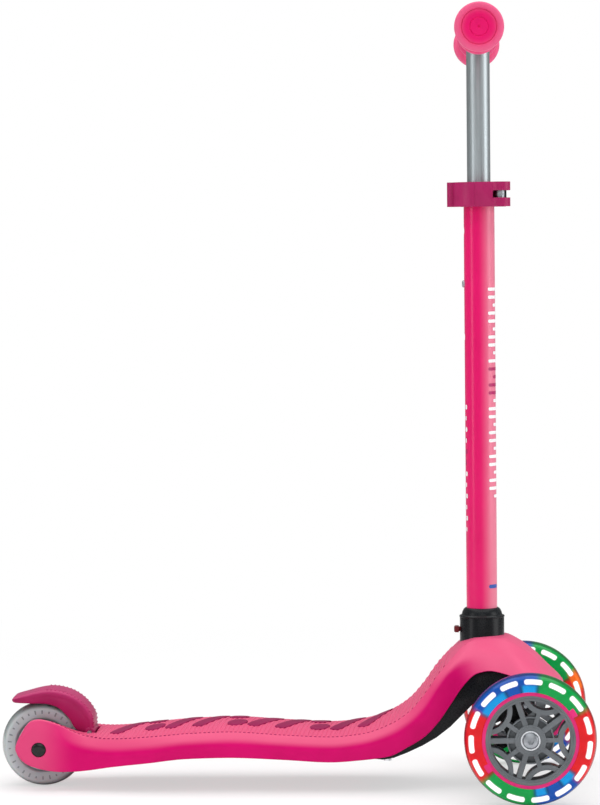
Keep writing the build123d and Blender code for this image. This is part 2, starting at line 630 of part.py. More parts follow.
def axle_bolt():
    outer = TRACK_HALF + 11.3
    shaft = cylinder_y(AXLE_R, KINGPIN_AT[1] + 12.5, outer)
    dome = [(0, 0), (7.6, 0), (7.6, 1.2), (6.2, 3.0), (3.4, 3.9), (0, 4.0)]
    head = turned_y([(radius, outer + rise) for radius, rise in dome])
    socket = Pos(0, outer + 1.2, 0) * Rot(-90, 0, 0) * extrude(RegularPolygon(2.9, 6), 5)
    return Pos(FRONT_AXLE_X, 0, FRONT_WHEEL_R) * (shaft + head - socket)


# ---- Front wheel ----
SPOKE_COUNT = 5
WINDOW_COUNT = 15
MODULE_COUNT = 6
RIM_R = 45.4
HUB_R = 40.8
WINDOW_R = 54.0
WINDOW_DEPTH = 1.0
WINDOW_START = 3.0
MODULE_START = 30.0
TAB_START = 57.0
FRONT_BEARING_Y = 4.0


def window_shape(depth):
    outline = RectangleRounded(18.6, 5.3, 2.2)
    return Pos(0, FRONT_WHEEL_HALF_W, WINDOW_R) * Rot(90, 0, 0) * extrude(outline, depth)


def around(shape, count, start=0.0):
    return [Rot(0, start + i * 360.0 / count, 0) * shape for i in range(count)]


def wheel_tyre():
    w = FRONT_WHEEL_HALF_W
    r = FRONT_WHEEL_R
    inboard = [(RIM_R, -w + 1), (47, -w), (55.5, -w), (58.2, -w + 1.8), (60.0, -w + 6), (r, -w + 9.5)]
    outboard = [(r, w - 9.5), (60.0, w - 6), (58.2, w - 1.8), (56.9, w), (47, w), (RIM_R, w - 1)]
    tyre = turned_y(inboard + outboard)
    for pocket in around(window_shape(WINDOW_DEPTH), WINDOW_COUNT, WINDOW_START):
        tyre -= pocket
    for pocket in around(led_module(), MODULE_COUNT, MODULE_START):
        tyre -= pocket
    return tyre - rim_tabs()


def rim_tabs():
    tab = block((-4, FRONT_WHEEL_HALF_W - 3, RIM_R - 2), (4, FRONT_WHEEL_HALF_W, 48.6))
    return Part() + around(tab, 2, TAB_START)


def rim_ring():
    w = FRONT_WHEEL_HALF_W - 0.6
    ring = cylinder_y(RIM_R, -w, w) - cylinder_y(HUB_R, -w - 1, w + 1)
    return ring + (rim_tabs() - cylinder_y(RIM_R, -20, 20))


def led_module():
    return block((-4, -4, RIM_R + 0.4), (4, 3, RIM_R + 4.0))


def wheel_hub():
    w = FRONT_WHEEL_HALF_W
    rim = cylinder_y(HUB_R - 0.01, -w + 2, w - 1.2) - cylinder_y(36.3, -w, w)
    spokes = Sketch()
    for i in range(SPOKE_COUNT):
        turn = -17.4 + i * 360.0 / SPOKE_COUNT
        spokes += Rot(0, 0, -turn) * (Pos(0, 25) * Rectangle(4.8, 25))
        middle = turn + 36.0
        spokes += Rot(0, 0, -middle) * (Pos(0, 19.5) * Rectangle(4.0, 15))
        arch = Pos(0, 47.2) * (Circle(22.2) - Circle(17.6))
        spokes += Rot(0, 0, -middle) * (arch & Circle(37.0))
    spoked = Pos(0, -w + 4, 0) * Rot(90, 0, 0) * Rot(180, 0, 0) * extrude(spokes, 2 * w - 6.5)
    web = cylinder_y(20.8, -4, 5)
    body = rim + spoked + web + cylinder_y(14.2, -w + 1, w - 1.0)
    body -= cylinder_y(8.0, -20, 20)
    for sign in (1, -1):
        body -= cylinder_y(BEARING_R, sign * FRONT_BEARING_Y, sign * (w + 2))
    return body


def wheel_solids():
    """Every piece of the left wheel about the origin, with its outboard side towards +Y."""
    return {
        "tyre": wheel_tyre(),
        "rim_ring": rim_ring(),
        "hub": wheel_hub(),
        "bearings": bearing_pair(FRONT_BEARING_Y),
        "bearing_spacer": bearing_spacer(FRONT_BEARING_Y),
        "light_windows": group(around(window_shape(WINDOW_DEPTH), WINDOW_COUNT, WINDOW_START)),
        "led_modules": group(around(led_module(), MODULE_COUNT, MODULE_START)),
    }


def chassis_screws():
    screws = []
    for x, y in SCREW_POSTS:
        z = chassis_floor(x)
        shank = cylinder_z(SCREW_R, z - 0.9, z + 15, x, y)
        screws.append(shank + cylinder_z(SCREW_HEAD_R, z - 2.6, z - 0.9, x, y))
    return group(screws)


# ---- Write every piece ----
def main():
    export("deck", deck())
    export("deck_inlays", deck_inlays())
    export("under_chassis", under_chassis())
    export("chassis_screws", chassis_screws())
    export("bar_socket", bar_socket())
    export("socket_cap", socket_cap())
    export("release_button", release_button())
    export("latch_clip", latch_clip())
    export("lower_tube", lower_tube())
    export("top_bush", top_bush())
    export("clamp_collar", clamp_collar())
    export("clamp_bolt", clamp_bolt())
    export("clamp_nut", clamp_nut())
    export("cam_pin", cam_pin())
    export("cam_washer", cam_washer())
    export("clamp_lever", clamp_lever())
    export("crossbar", crossbar())
    export("upper_tube", upper_tube())
    export("left_grip", grip())
    export("right_grip", mirrored(grip()))
    export("foot_bush", foot_bush())
    export("snap_button", snap_button())
    export("snap_spring", snap_spring())

    tyre, hub, bearings, spacer = rear_wheel_solids()
    export("rear_tyre", tyre)
    export("rear_hub", hub)
    export("rear_bearings", bearings)
    export("rear_spacer", spacer)
    export("rear_axle", rear_axle())
    export("rear_axle_caps", axle_caps())
    export("rear_brake", rear_brake())
    export("brake_pad", brake_pad())
    export("brake_pin", brake_pin())
    export("brake_spring", brake_spring())

    export("kingpins", group([kingpin(), mirrored(kingpin())]))
    export("kingpin_nuts", group([kingpin_nut(), mirrored(kingpin_nut())]))
    export("centring_springs", group([centring_spring(), mirrored(centring_spring())]))
    export("tie_rod", tie_rod())
    suspension = {
        "knuckle": knuckle(),
        "kingpin_bushes": knuckle_bushes(),
        "axle_bolt": axle_bolt(),
        "tie_pin": tie_pin(),
    }
    for name, shape in suspension.items():
        export(f"left_{name}", shape)
        export(f"right_{name}", mirrored(shape))
    at = Pos(FRONT_AXLE_X, TRACK_HALF, FRONT_WHEEL_R)
    for name, shape in wheel_solids().items():
        export(f"left_wheel_{name}", at * shape)
        export(f"right_wheel_{name}", mirrored(at * shape))


main()
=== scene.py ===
import math

import bmesh
import bpy
from mathutils import Matrix, Vector


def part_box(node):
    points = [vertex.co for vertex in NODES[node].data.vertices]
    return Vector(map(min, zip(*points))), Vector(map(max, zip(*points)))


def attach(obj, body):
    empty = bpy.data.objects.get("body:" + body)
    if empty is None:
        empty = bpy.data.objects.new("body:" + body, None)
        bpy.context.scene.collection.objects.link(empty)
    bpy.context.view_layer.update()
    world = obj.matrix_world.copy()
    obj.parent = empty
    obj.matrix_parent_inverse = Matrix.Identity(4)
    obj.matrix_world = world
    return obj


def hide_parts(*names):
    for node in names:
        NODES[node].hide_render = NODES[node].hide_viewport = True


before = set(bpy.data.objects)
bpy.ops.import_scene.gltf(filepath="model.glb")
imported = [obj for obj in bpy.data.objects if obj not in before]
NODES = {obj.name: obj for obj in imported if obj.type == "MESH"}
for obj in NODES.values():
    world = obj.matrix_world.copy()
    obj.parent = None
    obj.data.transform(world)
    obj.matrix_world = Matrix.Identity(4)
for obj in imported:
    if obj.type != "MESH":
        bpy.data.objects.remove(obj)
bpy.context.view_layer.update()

MM = 0.001


# ---- Places read from the frame ----
def centre(node):
    low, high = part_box(node)
    return (low + high) / 2


FRONT_AXLE = {"left": centre("left_wheel_tyre"), "right": centre("right_wheel_tyre")}
REAR_AXLE = centre("rear_tyre")
COLUMN_X = centre("lower_tube").x
BAR_Z = centre("crossbar").z
REAR_WHEEL_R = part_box("rear_tyre")[1].z / 2
GRIP_END_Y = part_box("left_grip")[1].y
TUBE_R = (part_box("lower_tube")[1].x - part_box("lower_tube")[0].x) / 2
# Which way along Y is outwards on each side.
OUTWARD = {"left": 1.0, "right": -1.0}


# ---- Materials ----
def new_material(name, colour, roughness, metallic=0.0, coat=0.0, coat_roughness=0.1, specular=0.5):
    made = bpy.data.materials.new(name)
    made.use_nodes = True
    values = {"Base Color": (*colour, 1.0), "Roughness": roughness, "Metallic": metallic, "Coat Weight": coat,
              "Coat Roughness": coat_roughness, "Specular IOR Level": specular}
    for socket, value in values.items():
        shader_of(made).inputs[socket].default_value = value
    return made


def add_node(made, kind, **values):
    node = made.node_tree.nodes.new(kind)
    for key, value in values.items():
        setattr(node, key, value)
    return node


def link(made, source, target):
    made.node_tree.links.new(source, target)


def shader_of(made):
    return made.node_tree.nodes["Principled BSDF"]


def object_coordinates(made, stretch=(1.0, 1.0, 1.0)):
    coordinates = add_node(made, "ShaderNodeTexCoord")
    mapping = add_node(made, "ShaderNodeMapping")
    mapping.inputs["Scale"].default_value = stretch
    link(made, coordinates.outputs["Object"], mapping.inputs["Vector"])
    return mapping.outputs["Vector"]


def noise(made, scale, detail=3.0, stretch=(1.0, 1.0, 1.0)):
    texture = add_node(made, "ShaderNodeTexNoise")
    texture.inputs["Scale"].default_value = scale
    texture.inputs["Detail"].default_value = detail
    link(made, object_coordinates(made, stretch), texture.inputs["Vector"])
    return texture.outputs["Fac"]


def split_vector(made, vector):
    node = add_node(made, "ShaderNodeSeparateXYZ")
    link(made, vector, node.inputs["Vector"])
    return node.outputs


def length_of(made, vector):
    node = add_node(made, "ShaderNodeVectorMath", operation="LENGTH")
    link(made, vector, node.inputs[0])
    return node.outputs["Value"]


def calculate(made, operation, a, b=None):
    """One Math node; each input is a socket or a number."""
    node = add_node(made, "ShaderNodeMath", operation=operation)
    for place, value in enumerate((a, b)):
        if isinstance(value, (int, float)):
            node.inputs[place].default_value = value
        elif value is not None:
            link(made, value, node.inputs[place])
    return node.outputs["Value"]


def ramp_between(made, value, low, high, at_low=0.0, at_high=1.0, interpolation="SMOOTHSTEP"):
    """Runs from at_low to at_high while the value runs from low to high."""
    node = add_node(made, "ShaderNodeMapRange", interpolation_type=interpolation)
    for name, number in (("From Min", low), ("From Max", high), ("To Min", at_low), ("To Max", at_high)):
        node.inputs[name].default_value = number
    link(made, value, node.inputs["Value"])
    return node.outputs["Result"]


def mix_colours(made, factor, a, b):
    """A to B by the factor; each colour is a socket or a tuple."""
    node = add_node(made, "ShaderNodeMix", data_type="RGBA")
    link(made, factor, node.inputs["Factor"])
    for name, colour in (("A", a), ("B", b)):
        if isinstance(colour, tuple):
            node.inputs[name].default_value = (*colour, 1.0)
        else:
            link(made, colour, node.inputs[name])
    return node.outputs["Result"]


def colour_ramp(made, value, stops):
    """Colours through (place, colour) stops, given in order."""
    ramp = add_node(made, "ShaderNodeValToRGB")
    elements = ramp.color_ramp.elements
    for element, (place, colour) in zip(elements, (stops[0], stops[-1])):
        element.position = place
        element.color = (*colour, 1.0)
    for place, colour in stops[1:-1]:
        elements.new(place).color = (*colour, 1.0)
    link(made, value, ramp.inputs["Fac"])
    return ramp.outputs["Color"]


# Most of a noise texture's values lie between these.
NOISE_SPAN = (0.3, 0.7)


def vary_colour(made, texture, dark, light, span=(0.35, 0.65)):
    """The base colour runs between two close tones with a texture."""
    tones = colour_ramp(made, texture, [(span[0], dark), (span[1], light)])
    link(made, tones, shader_of(made).inputs["Base Color"])


def vary_roughness(made, texture, low, high):
    spread = ramp_between(made, texture, *NOISE_SPAN, low, high, "LINEAR")
    link(made, spread, shader_of(made).inputs["Roughness"])


def add_bump(made, height, strength, distance):
    bump = add_node(made, "ShaderNodeBump")
    bump.inputs["Strength"].default_value = strength
    bump.inputs["Distance"].default_value = distance
    link(made, height, bump.inputs["Height"])
    link(made, bump.outputs["Normal"], shader_of(made).inputs["Normal"])


# Depths of the surface textures, in metres.
GRAIN_DEPTH = 0.00004
PEEL_DEPTH = 0.00003
DRAW_LINE_DEPTH = 0.00002


def moulded_plastic(name, dark, light, roughness, grain=900.0, specular=0.3):
    """Moulded plastic: a soft flow mottle in the colour and a fine spark-eroded grain."""
    made = new_material(name, light, roughness, specular=specular)
    vary_colour(made, noise(made, 28.0), dark, light)
    fine = noise(made, grain, detail=2.0)
    vary_roughness(made, fine, roughness - 0.05, roughness + 0.06)
    add_bump(made, fine, 0.5, GRAIN_DEPTH)
    return made


def paint_highlight(made, factor, colour):
    """Painted highlight: the base colour runs to a paler one where the factor rises."""
    shader = shader_of(made)
    base = shader.inputs["Base Color"].links[0].from_socket
    mixed = mix_colours(made, factor, base, colour)
    link(made, mixed, shader.inputs["Base Color"])


def facing(made, axis, low, high):
    """0 to 1 as a surface turns towards an axis."""
    geometry = add_node(made, "ShaderNodeNewGeometry")
    return ramp_between(made, split_vector(made, geometry.outputs["Normal"])[axis], low, high)


def gloss_paint(name, dark, light):
    """Powder-coated tube: even colour, clear coat and a faint orange peel."""
    made = new_material(name, light, 0.34, coat=0.28, coat_roughness=0.14, specular=0.16)
    vary_colour(made, noise(made, 14.0), dark, light)
    add_bump(made, noise(made, 420.0, detail=1.0), 0.25, PEEL_DEPTH)
    return made


def anodised(name, dark, light):
    """Satin anodised tube: fine draw lines along its length."""
    made = new_material(name, light, 0.42, metallic=1.0)
    lines = noise(made, 900.0, detail=2.0, stretch=(1.0, 1.0, 0.012))
    vary_colour(made, lines, dark, light, NOISE_SPAN)
    vary_roughness(made, lines, 0.38, 0.48)
    add_bump(made, lines, 0.15, DRAW_LINE_DEPTH)
    return made


def plated_steel(name, dark, light, roughness):
    made = new_material(name, light, roughness, metallic=1.0)
    cloud = noise(made, 160.0)
    vary_colour(made, cloud, dark, light)
    vary_roughness(made, cloud, roughness - 0.06, roughness + 0.1)
    return made


PINK = moulded_plastic("pink_moulding", (0.61, 0.0005, 0.128), (0.67, 0.001, 0.146), 0.34, specular=0.10)
PINK_TREAD = moulded_plastic("pink_tread", (0.61, 0.0015, 0.126), (0.67, 0.003, 0.144), 0.42)
MAGENTA = moulded_plastic("magenta_moulding", (0.33, 0.006, 0.085), (0.40, 0.011, 0.108), 0.40,
                          specular=0.24)
BLACK = moulded_plastic("black_plastic", (0.0075, 0.0085, 0.0095), (0.011, 0.013, 0.0155), 0.28,
                        specular=0.16)
GREY_HUB = moulded_plastic("grey_nylon", (0.110, 0.122, 0.132), (0.155, 0.168, 0.180), 0.38)
INLAY = moulded_plastic("inlay", (0.27, 0.004, 0.072), (0.33, 0.008, 0.09), 0.42, specular=0.15)
PINK_RIM = moulded_plastic("pink_rim", (0.70, 0.012, 0.16), (0.78, 0.022, 0.19), 0.36)
PINK_RUBBER = moulded_plastic("pink_rubber", (0.72, 0.002, 0.120), (0.78, 0.004, 0.140), 0.40,
                              grain=1400.0, specular=0.15)
RED = moulded_plastic("red_plastic", (0.10, 0.004, 0.008), (0.16, 0.008, 0.012), 0.35)
PINK_PAINT = gloss_paint("pink_paint", (0.70, 0.001, 0.120), (0.76, 0.002, 0.136))
ANODISED = anodised("anodised_tube", (0.34, 0.38, 0.395), (0.435, 0.48, 0.495))
STEEL = plated_steel("steel", (0.55, 0.57, 0.60), (0.78, 0.80, 0.83), 0.22)
BOLT_STEEL = plated_steel("bolt_steel", (0.26, 0.28, 0.30), (0.40, 0.42, 0.45), 0.38)
GLOSS_BLACK = moulded_plastic("gloss_black", (0.006, 0.008, 0.008), (0.011, 0.013, 0.013), 0.14,
                              specular=0.32)
PALE_HUB = moulded_plastic("pale_hub", (0.30, 0.33, 0.34), (0.40, 0.43, 0.44), 0.35)
PALE_TYRE_MARK = moulded_plastic("tyre_mark", (0.17, 0.19, 0.20), (0.22, 0.24, 0.25), 0.4)
WHITE_VINYL = moulded_plastic("white_vinyl", (0.84, 0.82, 0.83), (0.93, 0.92, 0.92), 0.35)
MAGENTA_VINYL = moulded_plastic("magenta_vinyl", (0.38, 0.012, 0.10), (0.45, 0.018, 0.13), 0.35)
BLUE_VINYL = moulded_plastic("blue_vinyl", (0.015, 0.06, 0.30), (0.025, 0.09, 0.40), 0.35)


def angle_round(made, axle):
    """The angle about an axle, 0 to 1 clockwise from the top seen from the right, and the radius."""
    coordinates = add_node(made, "ShaderNodeTexCoord")
    offset = add_node(made, "ShaderNodeVectorMath", operation="SUBTRACT")
    offset.inputs[1].default_value = axle
    link(made, coordinates.outputs["Object"], offset.inputs[0])
    parts = split_vector(made, offset.outputs["Vector"])
    angle = calculate(made, "ARCTAN2", parts["X"], parts["Z"])
    turn = calculate(made, "FRACT", calculate(made, "DIVIDE", angle, 2 * math.pi))
    flat = add_node(made, "ShaderNodeCombineXYZ")
    for axis in ("X", "Z"):
        link(made, parts[axis], flat.inputs[axis])
    return turn, length_of(made, flat.outputs["Vector"])


# Half the width of the join between two light sectors, in degrees.
JOIN_HALF = 3.0


def sector_ramp(made, turn, sectors, join_tone):
    """Colour sectors round a wheel: (angle in degrees, colour) where each starts, with a darker join."""
    stops = []
    for i, (angle, colour) in enumerate(sectors):
        before = sectors[i - 1][1]
        join = [(a + b) * join_tone / 2 for a, b in zip(before, colour)]
        stops += [((angle - JOIN_HALF) / 360.0, before), (angle / 360.0, join),
                  ((angle + JOIN_HALF) / 360.0, colour)]
    last = sectors[-1][1]
    return colour_ramp(made, turn, [(0.0, last), *stops, (1.0, last)])


# Light windows round the tyre, in degrees and mm; the glow fades over the edge span.
WINDOW_COUNT = 15
WINDOW_START = 3.0
WINDOW_R = 54.0
WINDOW_HALF = (8.4, 2.5)
WINDOW_CORNER = 2.1
GLOW_EDGE = (-0.9, 0.5)


def window_glow(made, turn, radius):
    """1 inside each light window and 0 outside, with a soft edge."""
    pitch = 360.0 / WINDOW_COUNT
    degrees = calculate(made, "MULTIPLY", turn, 360.0)
    shifted = calculate(made, "ADD", degrees, 360.0 - WINDOW_START + pitch / 2)
    local = calculate(made, "SUBTRACT", calculate(made, "MODULO", shifted, pitch), pitch / 2)
    along = calculate(made, "MULTIPLY", local, math.radians(1.0) * WINDOW_R)
    across = calculate(made, "SUBTRACT", calculate(made, "MULTIPLY", radius, 1 / MM), WINDOW_R)
    squares = []
    for value, half in zip((along, across), WINDOW_HALF):
        over = calculate(made, "SUBTRACT", calculate(made, "ABSOLUTE", value), half - WINDOW_CORNER)
        squares.append(calculate(made, "POWER", calculate(made, "MAXIMUM", over, 0.0), 2.0))
    distance = calculate(made, "SQRT", calculate(made, "ADD", *squares))
    return ramp_between(made, distance, WINDOW_CORNER + GLOW_EDGE[0], WINDOW_CORNER + GLOW_EDGE[1], 1.0, 0.0)


BLUE_LIGHT = (0.002, 0.065, 0.34)
CYAN_LIGHT = (0.0, 0.26, 0.62)
GREEN_LIGHT = (0.0, 0.27, 0.05)
RED_LIGHT = (0.60, 0.006, 0.010)
ORANGE_LIGHT = (0.85, 0.13, 0.005)
SECTORS = [(8, GREEN_LIGHT), (61, RED_LIGHT), (131, BLUE_LIGHT), (175, GREEN_LIGHT), (230, RED_LIGHT),
           (299, BLUE_LIGHT)]
WARM_SECTORS = [SECTORS[0], (57, ORANGE_LIGHT), (76, RED_LIGHT), *SECTORS[2:]]
INNER_SECTORS = [(8, GREEN_LIGHT), (61, RED_LIGHT), (127, CYAN_LIGHT), (145, BLUE_LIGHT), (162, CYAN_LIGHT),
                 (176, GREEN_LIGHT), (230, RED_LIGHT), (299, CYAN_LIGHT), (333, BLUE_LIGHT),
                 (350, CYAN_LIGHT)]
# Radii in mm between which the tyre turns to its inner sectors, and darkens towards its tread with painted
# shade.
INNER_FADE_R = (52.5, 49.0)
TREAD_SHADE_R = (58.0, 59.9)


def lit_urethane(name, axle, sectors):
    """Clear cast tyre lit from inside: each module colours its own sector, and the windows glow white."""
    made = new_material(name, BLUE_LIGHT, 0.22, coat=0.1, coat_roughness=0.08, specular=0.18)
    shader = shader_of(made)
    turn, radius = angle_round(made, axle)
    inner_part = ramp_between(made, radius, INNER_FADE_R[0] * MM, INNER_FADE_R[1] * MM)
    colour = mix_colours(made, inner_part, sector_ramp(made, turn, sectors, 0.8),
                         sector_ramp(made, turn, INNER_SECTORS, 0.3))
    # Painted shade towards the rounded tread, times a faint random tone.
    shade = calculate(made, "MULTIPLY",
                      ramp_between(made, radius, TREAD_SHADE_R[0] * MM, TREAD_SHADE_R[1] * MM, 1.0, 0.4),
                      ramp_between(made, noise(made, 75.0), *NOISE_SPAN, 0.86, 1.0))
    shaded = add_node(made, "ShaderNodeVectorMath", operation="SCALE")
    link(made, colour, shaded.inputs[0])
    link(made, shade, shaded.inputs["Scale"])
    glow = window_glow(made, turn, radius)
    for socket, window in (("Emission Color", (1.0, 0.98, 0.97)), ("Base Color", (0.72, 0.72, 0.74))):
        link(made, mix_colours(made, glow, shaded.outputs["Vector"], window), shader.inputs[socket])
    link(made, ramp_between(made, glow, 0.0, 1.0, 0.30, 0.62), shader.inputs["Emission Strength"])
    return made


def lit_module(name):
    """The small lamp block cast into the tyre."""
    made = new_material(name, (0.95, 0.96, 0.98), 0.25)
    glow = mix_colours(made, noise(made, 120.0), (0.90, 0.93, 1.0), (1.0, 1.0, 1.0))
    link(made, glow, shader_of(made).inputs["Emission Color"])
    shader_of(made).inputs["Emission Strength"].default_value = 0.5
    return made


# Colours of the rear tyre from its axle (0) to its tread (1): a pale band of painted light across its side
# wall, darker at its inner edge and at its tread.
TYRE_BANDS = [(0.0, (0.20, 0.23, 0.24)), (0.60, (0.22, 0.25, 0.26)), (0.66, (0.40, 0.44, 0.46)),
              (0.88, (0.50, 0.55, 0.56)), (0.94, (0.30, 0.34, 0.34)), (1.0, (0.10, 0.12, 0.12))]


def grey_urethane(name):
    """Smoky translucent tyre, cloudy inside, with painted light in a pale band across its side wall."""
    made = new_material(name, (0.46, 0.50, 0.50), 0.14, coat=0.5, coat_roughness=0.06)
    radius = angle_round(made, REAR_AXLE)[1]
    cloud = add_node(made, "ShaderNodeMix", data_type="RGBA", blend_type="MULTIPLY")
    cloud.inputs["Factor"].default_value = 0.18
    out_share = calculate(made, "DIVIDE", radius, REAR_WHEEL_R)
    # The bands paint light into the side wall.
    link(made, colour_ramp(made, out_share, TYRE_BANDS), cloud.inputs["A"])
    link(made, noise(made, 60.0), cloud.inputs["B"])
    link(made, cloud.outputs["Result"], shader_of(made).inputs["Base Color"])
    shader_of(made).inputs["Subsurface Weight"].default_value = 0.25
    shader_of(made).inputs["Subsurface Scale"].default_value = 0.004
    return made


LIT_URETHANE = {"left": lit_urethane("lit_urethane_left", FRONT_AXLE["left"], WARM_SECTORS),
                "right": lit_urethane("lit_urethane_right", FRONT_AXLE["right"], SECTORS)}
LAMP = lit_module("lamp_block")
GREY_URETHANE = grey_urethane("grey_urethane")


# Where a painted highlight pales the deck towards its tail, along X, and a painted sheen pales the grips from
# bore to disc, by radius; in mm.
TAIL_HIGHLIGHT_X = (-205.0, -245.0)
GRIP_SHEEN_R = (11.0, 22.5)


def paint_pink_highlights():
    """Painted highlights and sheen: paler tones where each pink or magenta moulding faces upwards, where the
    tube faces forwards, towards the deck's tail and towards each grip's disc.
    """
    along = split_vector(PINK, object_coordinates(PINK))["X"]
    # Painted highlight paling the deck towards its tail, and painted sheen on its upward faces.
    tail = ramp_between(PINK, along, TAIL_HIGHLIGHT_X[0] * MM, TAIL_HIGHLIGHT_X[1] * MM, 0.0, 0.62)
    paint_highlight(PINK, calculate(PINK, "MAXIMUM", facing(PINK, "Z", 0.12, 0.74), tail), (0.74, 0.098, 0.218))
    # Painted sheen on the upward faces of the tread and the magenta parts, and a painted highlight down the
    # tube's forward side.
    for made, axis, low, high, pale in ((PINK_TREAD, "Z", -0.02, 0.72, (0.74, 0.085, 0.21)),
                                        (PINK_PAINT, "X", -0.1, 0.85, (0.76, 0.19, 0.29)),
                                        (MAGENTA, "Z", 0.1, 0.9, (0.46, 0.035, 0.145))):
        paint_highlight(made, facing(made, axis, low, high), pale)
    # Painted sheen on each grip, paler from its bore out to its disc.
    radius = angle_round(PINK_RUBBER, Vector((COLUMN_X, 0.0, BAR_Z)))[1]
    rim = ramp_between(PINK_RUBBER, radius, GRIP_SHEEN_R[0] * MM, GRIP_SHEEN_R[1] * MM, 0.0, 0.75)
    paint_highlight(PINK_RUBBER, rim, (0.80, 0.15, 0.29))


paint_pink_highlights()


# ---- Mesh helpers ----
def one_material(data, made):
    data.materials.clear()
    data.materials.append(made)
    for polygon in data.polygons:
        polygon.material_index = 0


def finish_piece(piece, body, made, sharp=35.0, replaces=()):
    """Gives a piece its material and smooth faces, and enters it on its body."""
    one_material(piece.data, made)
    for polygon in piece.data.polygons:
        polygon.use_smooth = True
    piece.data.set_sharp_from_angle(angle=math.radians(sharp))
    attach(piece, body)
    if replaces:
        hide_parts(*replaces)
    return piece


def new_object(name, data):
    made = bpy.data.objects.new(name, data)
    bpy.context.scene.collection.objects.link(made)
    return made


def mesh_piece(name, points, faces):
    """A new object from points in metres and faces, with outward normals."""
    data = bpy.data.meshes.new(name)
    data.from_pydata([tuple(p) for p in points], [], faces)
    work = bmesh.new()
    work.from_mesh(data)
    bmesh.ops.remove_doubles(work, verts=work.verts, dist=1e-7)
    bmesh.ops.recalc_face_normals(work, faces=work.faces)
    work.to_mesh(data)
    work.free()
    return new_object(name, data)


def add_loft(shape, rings):
    """Adds a closed solid through rings of points, all of one length, in metres, to (points, faces)."""
    points, faces = shape
    start = len(points)
    n = len(rings[0])
    for ring in rings:
        points.extend(ring)
    last = start + (len(rings) - 1) * n
    for a in range(start, last, n):
        for k in range(n):
            m = (k + 1) % n
            faces.append((a + k, a + m, a + n + m, a + n + k))
    faces.append(tuple(start + k for k in reversed(range(n))))
    faces.append(tuple(last + k for k in range(n)))


def apply_modifiers(piece):
    bpy.context.view_layer.update()
    graph = bpy.context.evaluated_depsgraph_get()
    done = bpy.data.meshes.new_from_object(piece.evaluated_get(graph))
    piece.modifiers.clear()
    piece.data = done


def cut(piece, tools):
    """Takes closed tools away from a piece."""
    for tool in tools:
        modifier = piece.modifiers.new("cut", "BOOLEAN")
        modifier.operation = "DIFFERENCE"
        modifier.solver = "EXACT"
        modifier.object = tool
    apply_modifiers(piece)
    for tool in tools:
        bpy.data.objects.remove(tool)


WELD_DISTANCE = 2e-6
FLAT_ANGLE = math.radians(1.2)
BEVEL_ANGLE = math.radians(32.0)


def refined(node, body, made, width, segments=2):
    """A piece in place of a hard-edged CAD node: a copy of its mesh, bevelled by a width in mm."""
    data = NODES[node].data.copy()
    piece = new_object(node + "_finish", data)
    work = bmesh.new()
    work.from_mesh(data)
    bmesh.ops.remove_doubles(work, verts=work.verts, dist=WELD_DISTANCE)
    bmesh.ops.dissolve_limit(work, angle_limit=FLAT_ANGLE, verts=work.verts, edges=work.edges)
    work.to_mesh(data)
    work.free()
    modifier = piece.modifiers.new("bevel", "BEVEL")
    modifier.width = width * MM
    modifier.segments = segments
    modifier.limit_method = "ANGLE"
    modifier.angle_limit = BEVEL_ANGLE
    apply_modifiers(piece)
    return finish_piece(piece, body, made, replaces=(node,))


def keep_node(node, made):
    """A CAD node whose shape is right keeps its mesh and takes a better material."""
    one_material(NODES[node].data, made)


def rectangle(x0, x1, y0, y1):
    """A plain outline; as a turned profile it is a ring, or a solid rod where x0 is zero."""
    return [(x0, y0), (x1, y0), (x1, y1), (x0, y1)]


def prism_tool(outline, half):
    """A tool with an (x, z) outline, reaching to both sides of the middle; in mm."""
    shape = ([], [])
    add_loft(shape, [[Vector((x, y, z)) * MM for x, z in outline] for y in (-half, half)])
    return mesh_piece("tool", *shape)


def lathe(name, profile, axis, at, segments=96):
    """A turned solid from (radius, along) points in mm about the Y or Z axis through a point in metres."""
    points, faces = [], []
    n = len(profile)
    for i in range(segments):
        a = 2 * math.pi * i / segments
        for r, s in profile:
            across, up = r * math.sin(a) * MM, r * math.cos(a) * MM
            local = Vector((across, s * MM, up)) if axis == "Y" else Vector((across, up, s * MM))
            points.append(local + at)
    for i in range(segments):
        j = (i + 1) % segments
        for k in range(n):
            m = (k + 1) % n
            if profile[k][0] < 1e-6 and profile[m][0] < 1e-6:
                continue
            faces.append((i * n + k, i * n + m, j * n + m, j * n + k))
    return mesh_piece(name, points, faces)


def corner(a, b, c, radius, steps):
    """Points of a soft corner at b between the legs to a and c."""
    va, vc = Vector(a) - Vector(b), Vector(c) - Vector(b)
    la, lc = va.length, vc.length
    reach = min(radius, 0.48 * la, 0.48 * lc)
    start = Vector(b) + va * (reach / la)
    end = Vector(b) + vc * (reach / lc)
    out = []
    for i in range(steps + 1):
        t = i / steps
        out.append(tuple(start * (1 - t) ** 2 + Vector(b) * 2 * t * (1 - t) + end * t * t))
    return out


def rounded_profile(points, radii, steps=4):
    """A closed (radius, along) outline with soft corners."""
    out = []
    n = len(points)
    for i, point in enumerate(points):
        if radii[i] <= 0:
            out.append(point)
        else:
            out += corner(points[i - 1], point, points[(i + 1) % n], radii[i], steps)
    return out


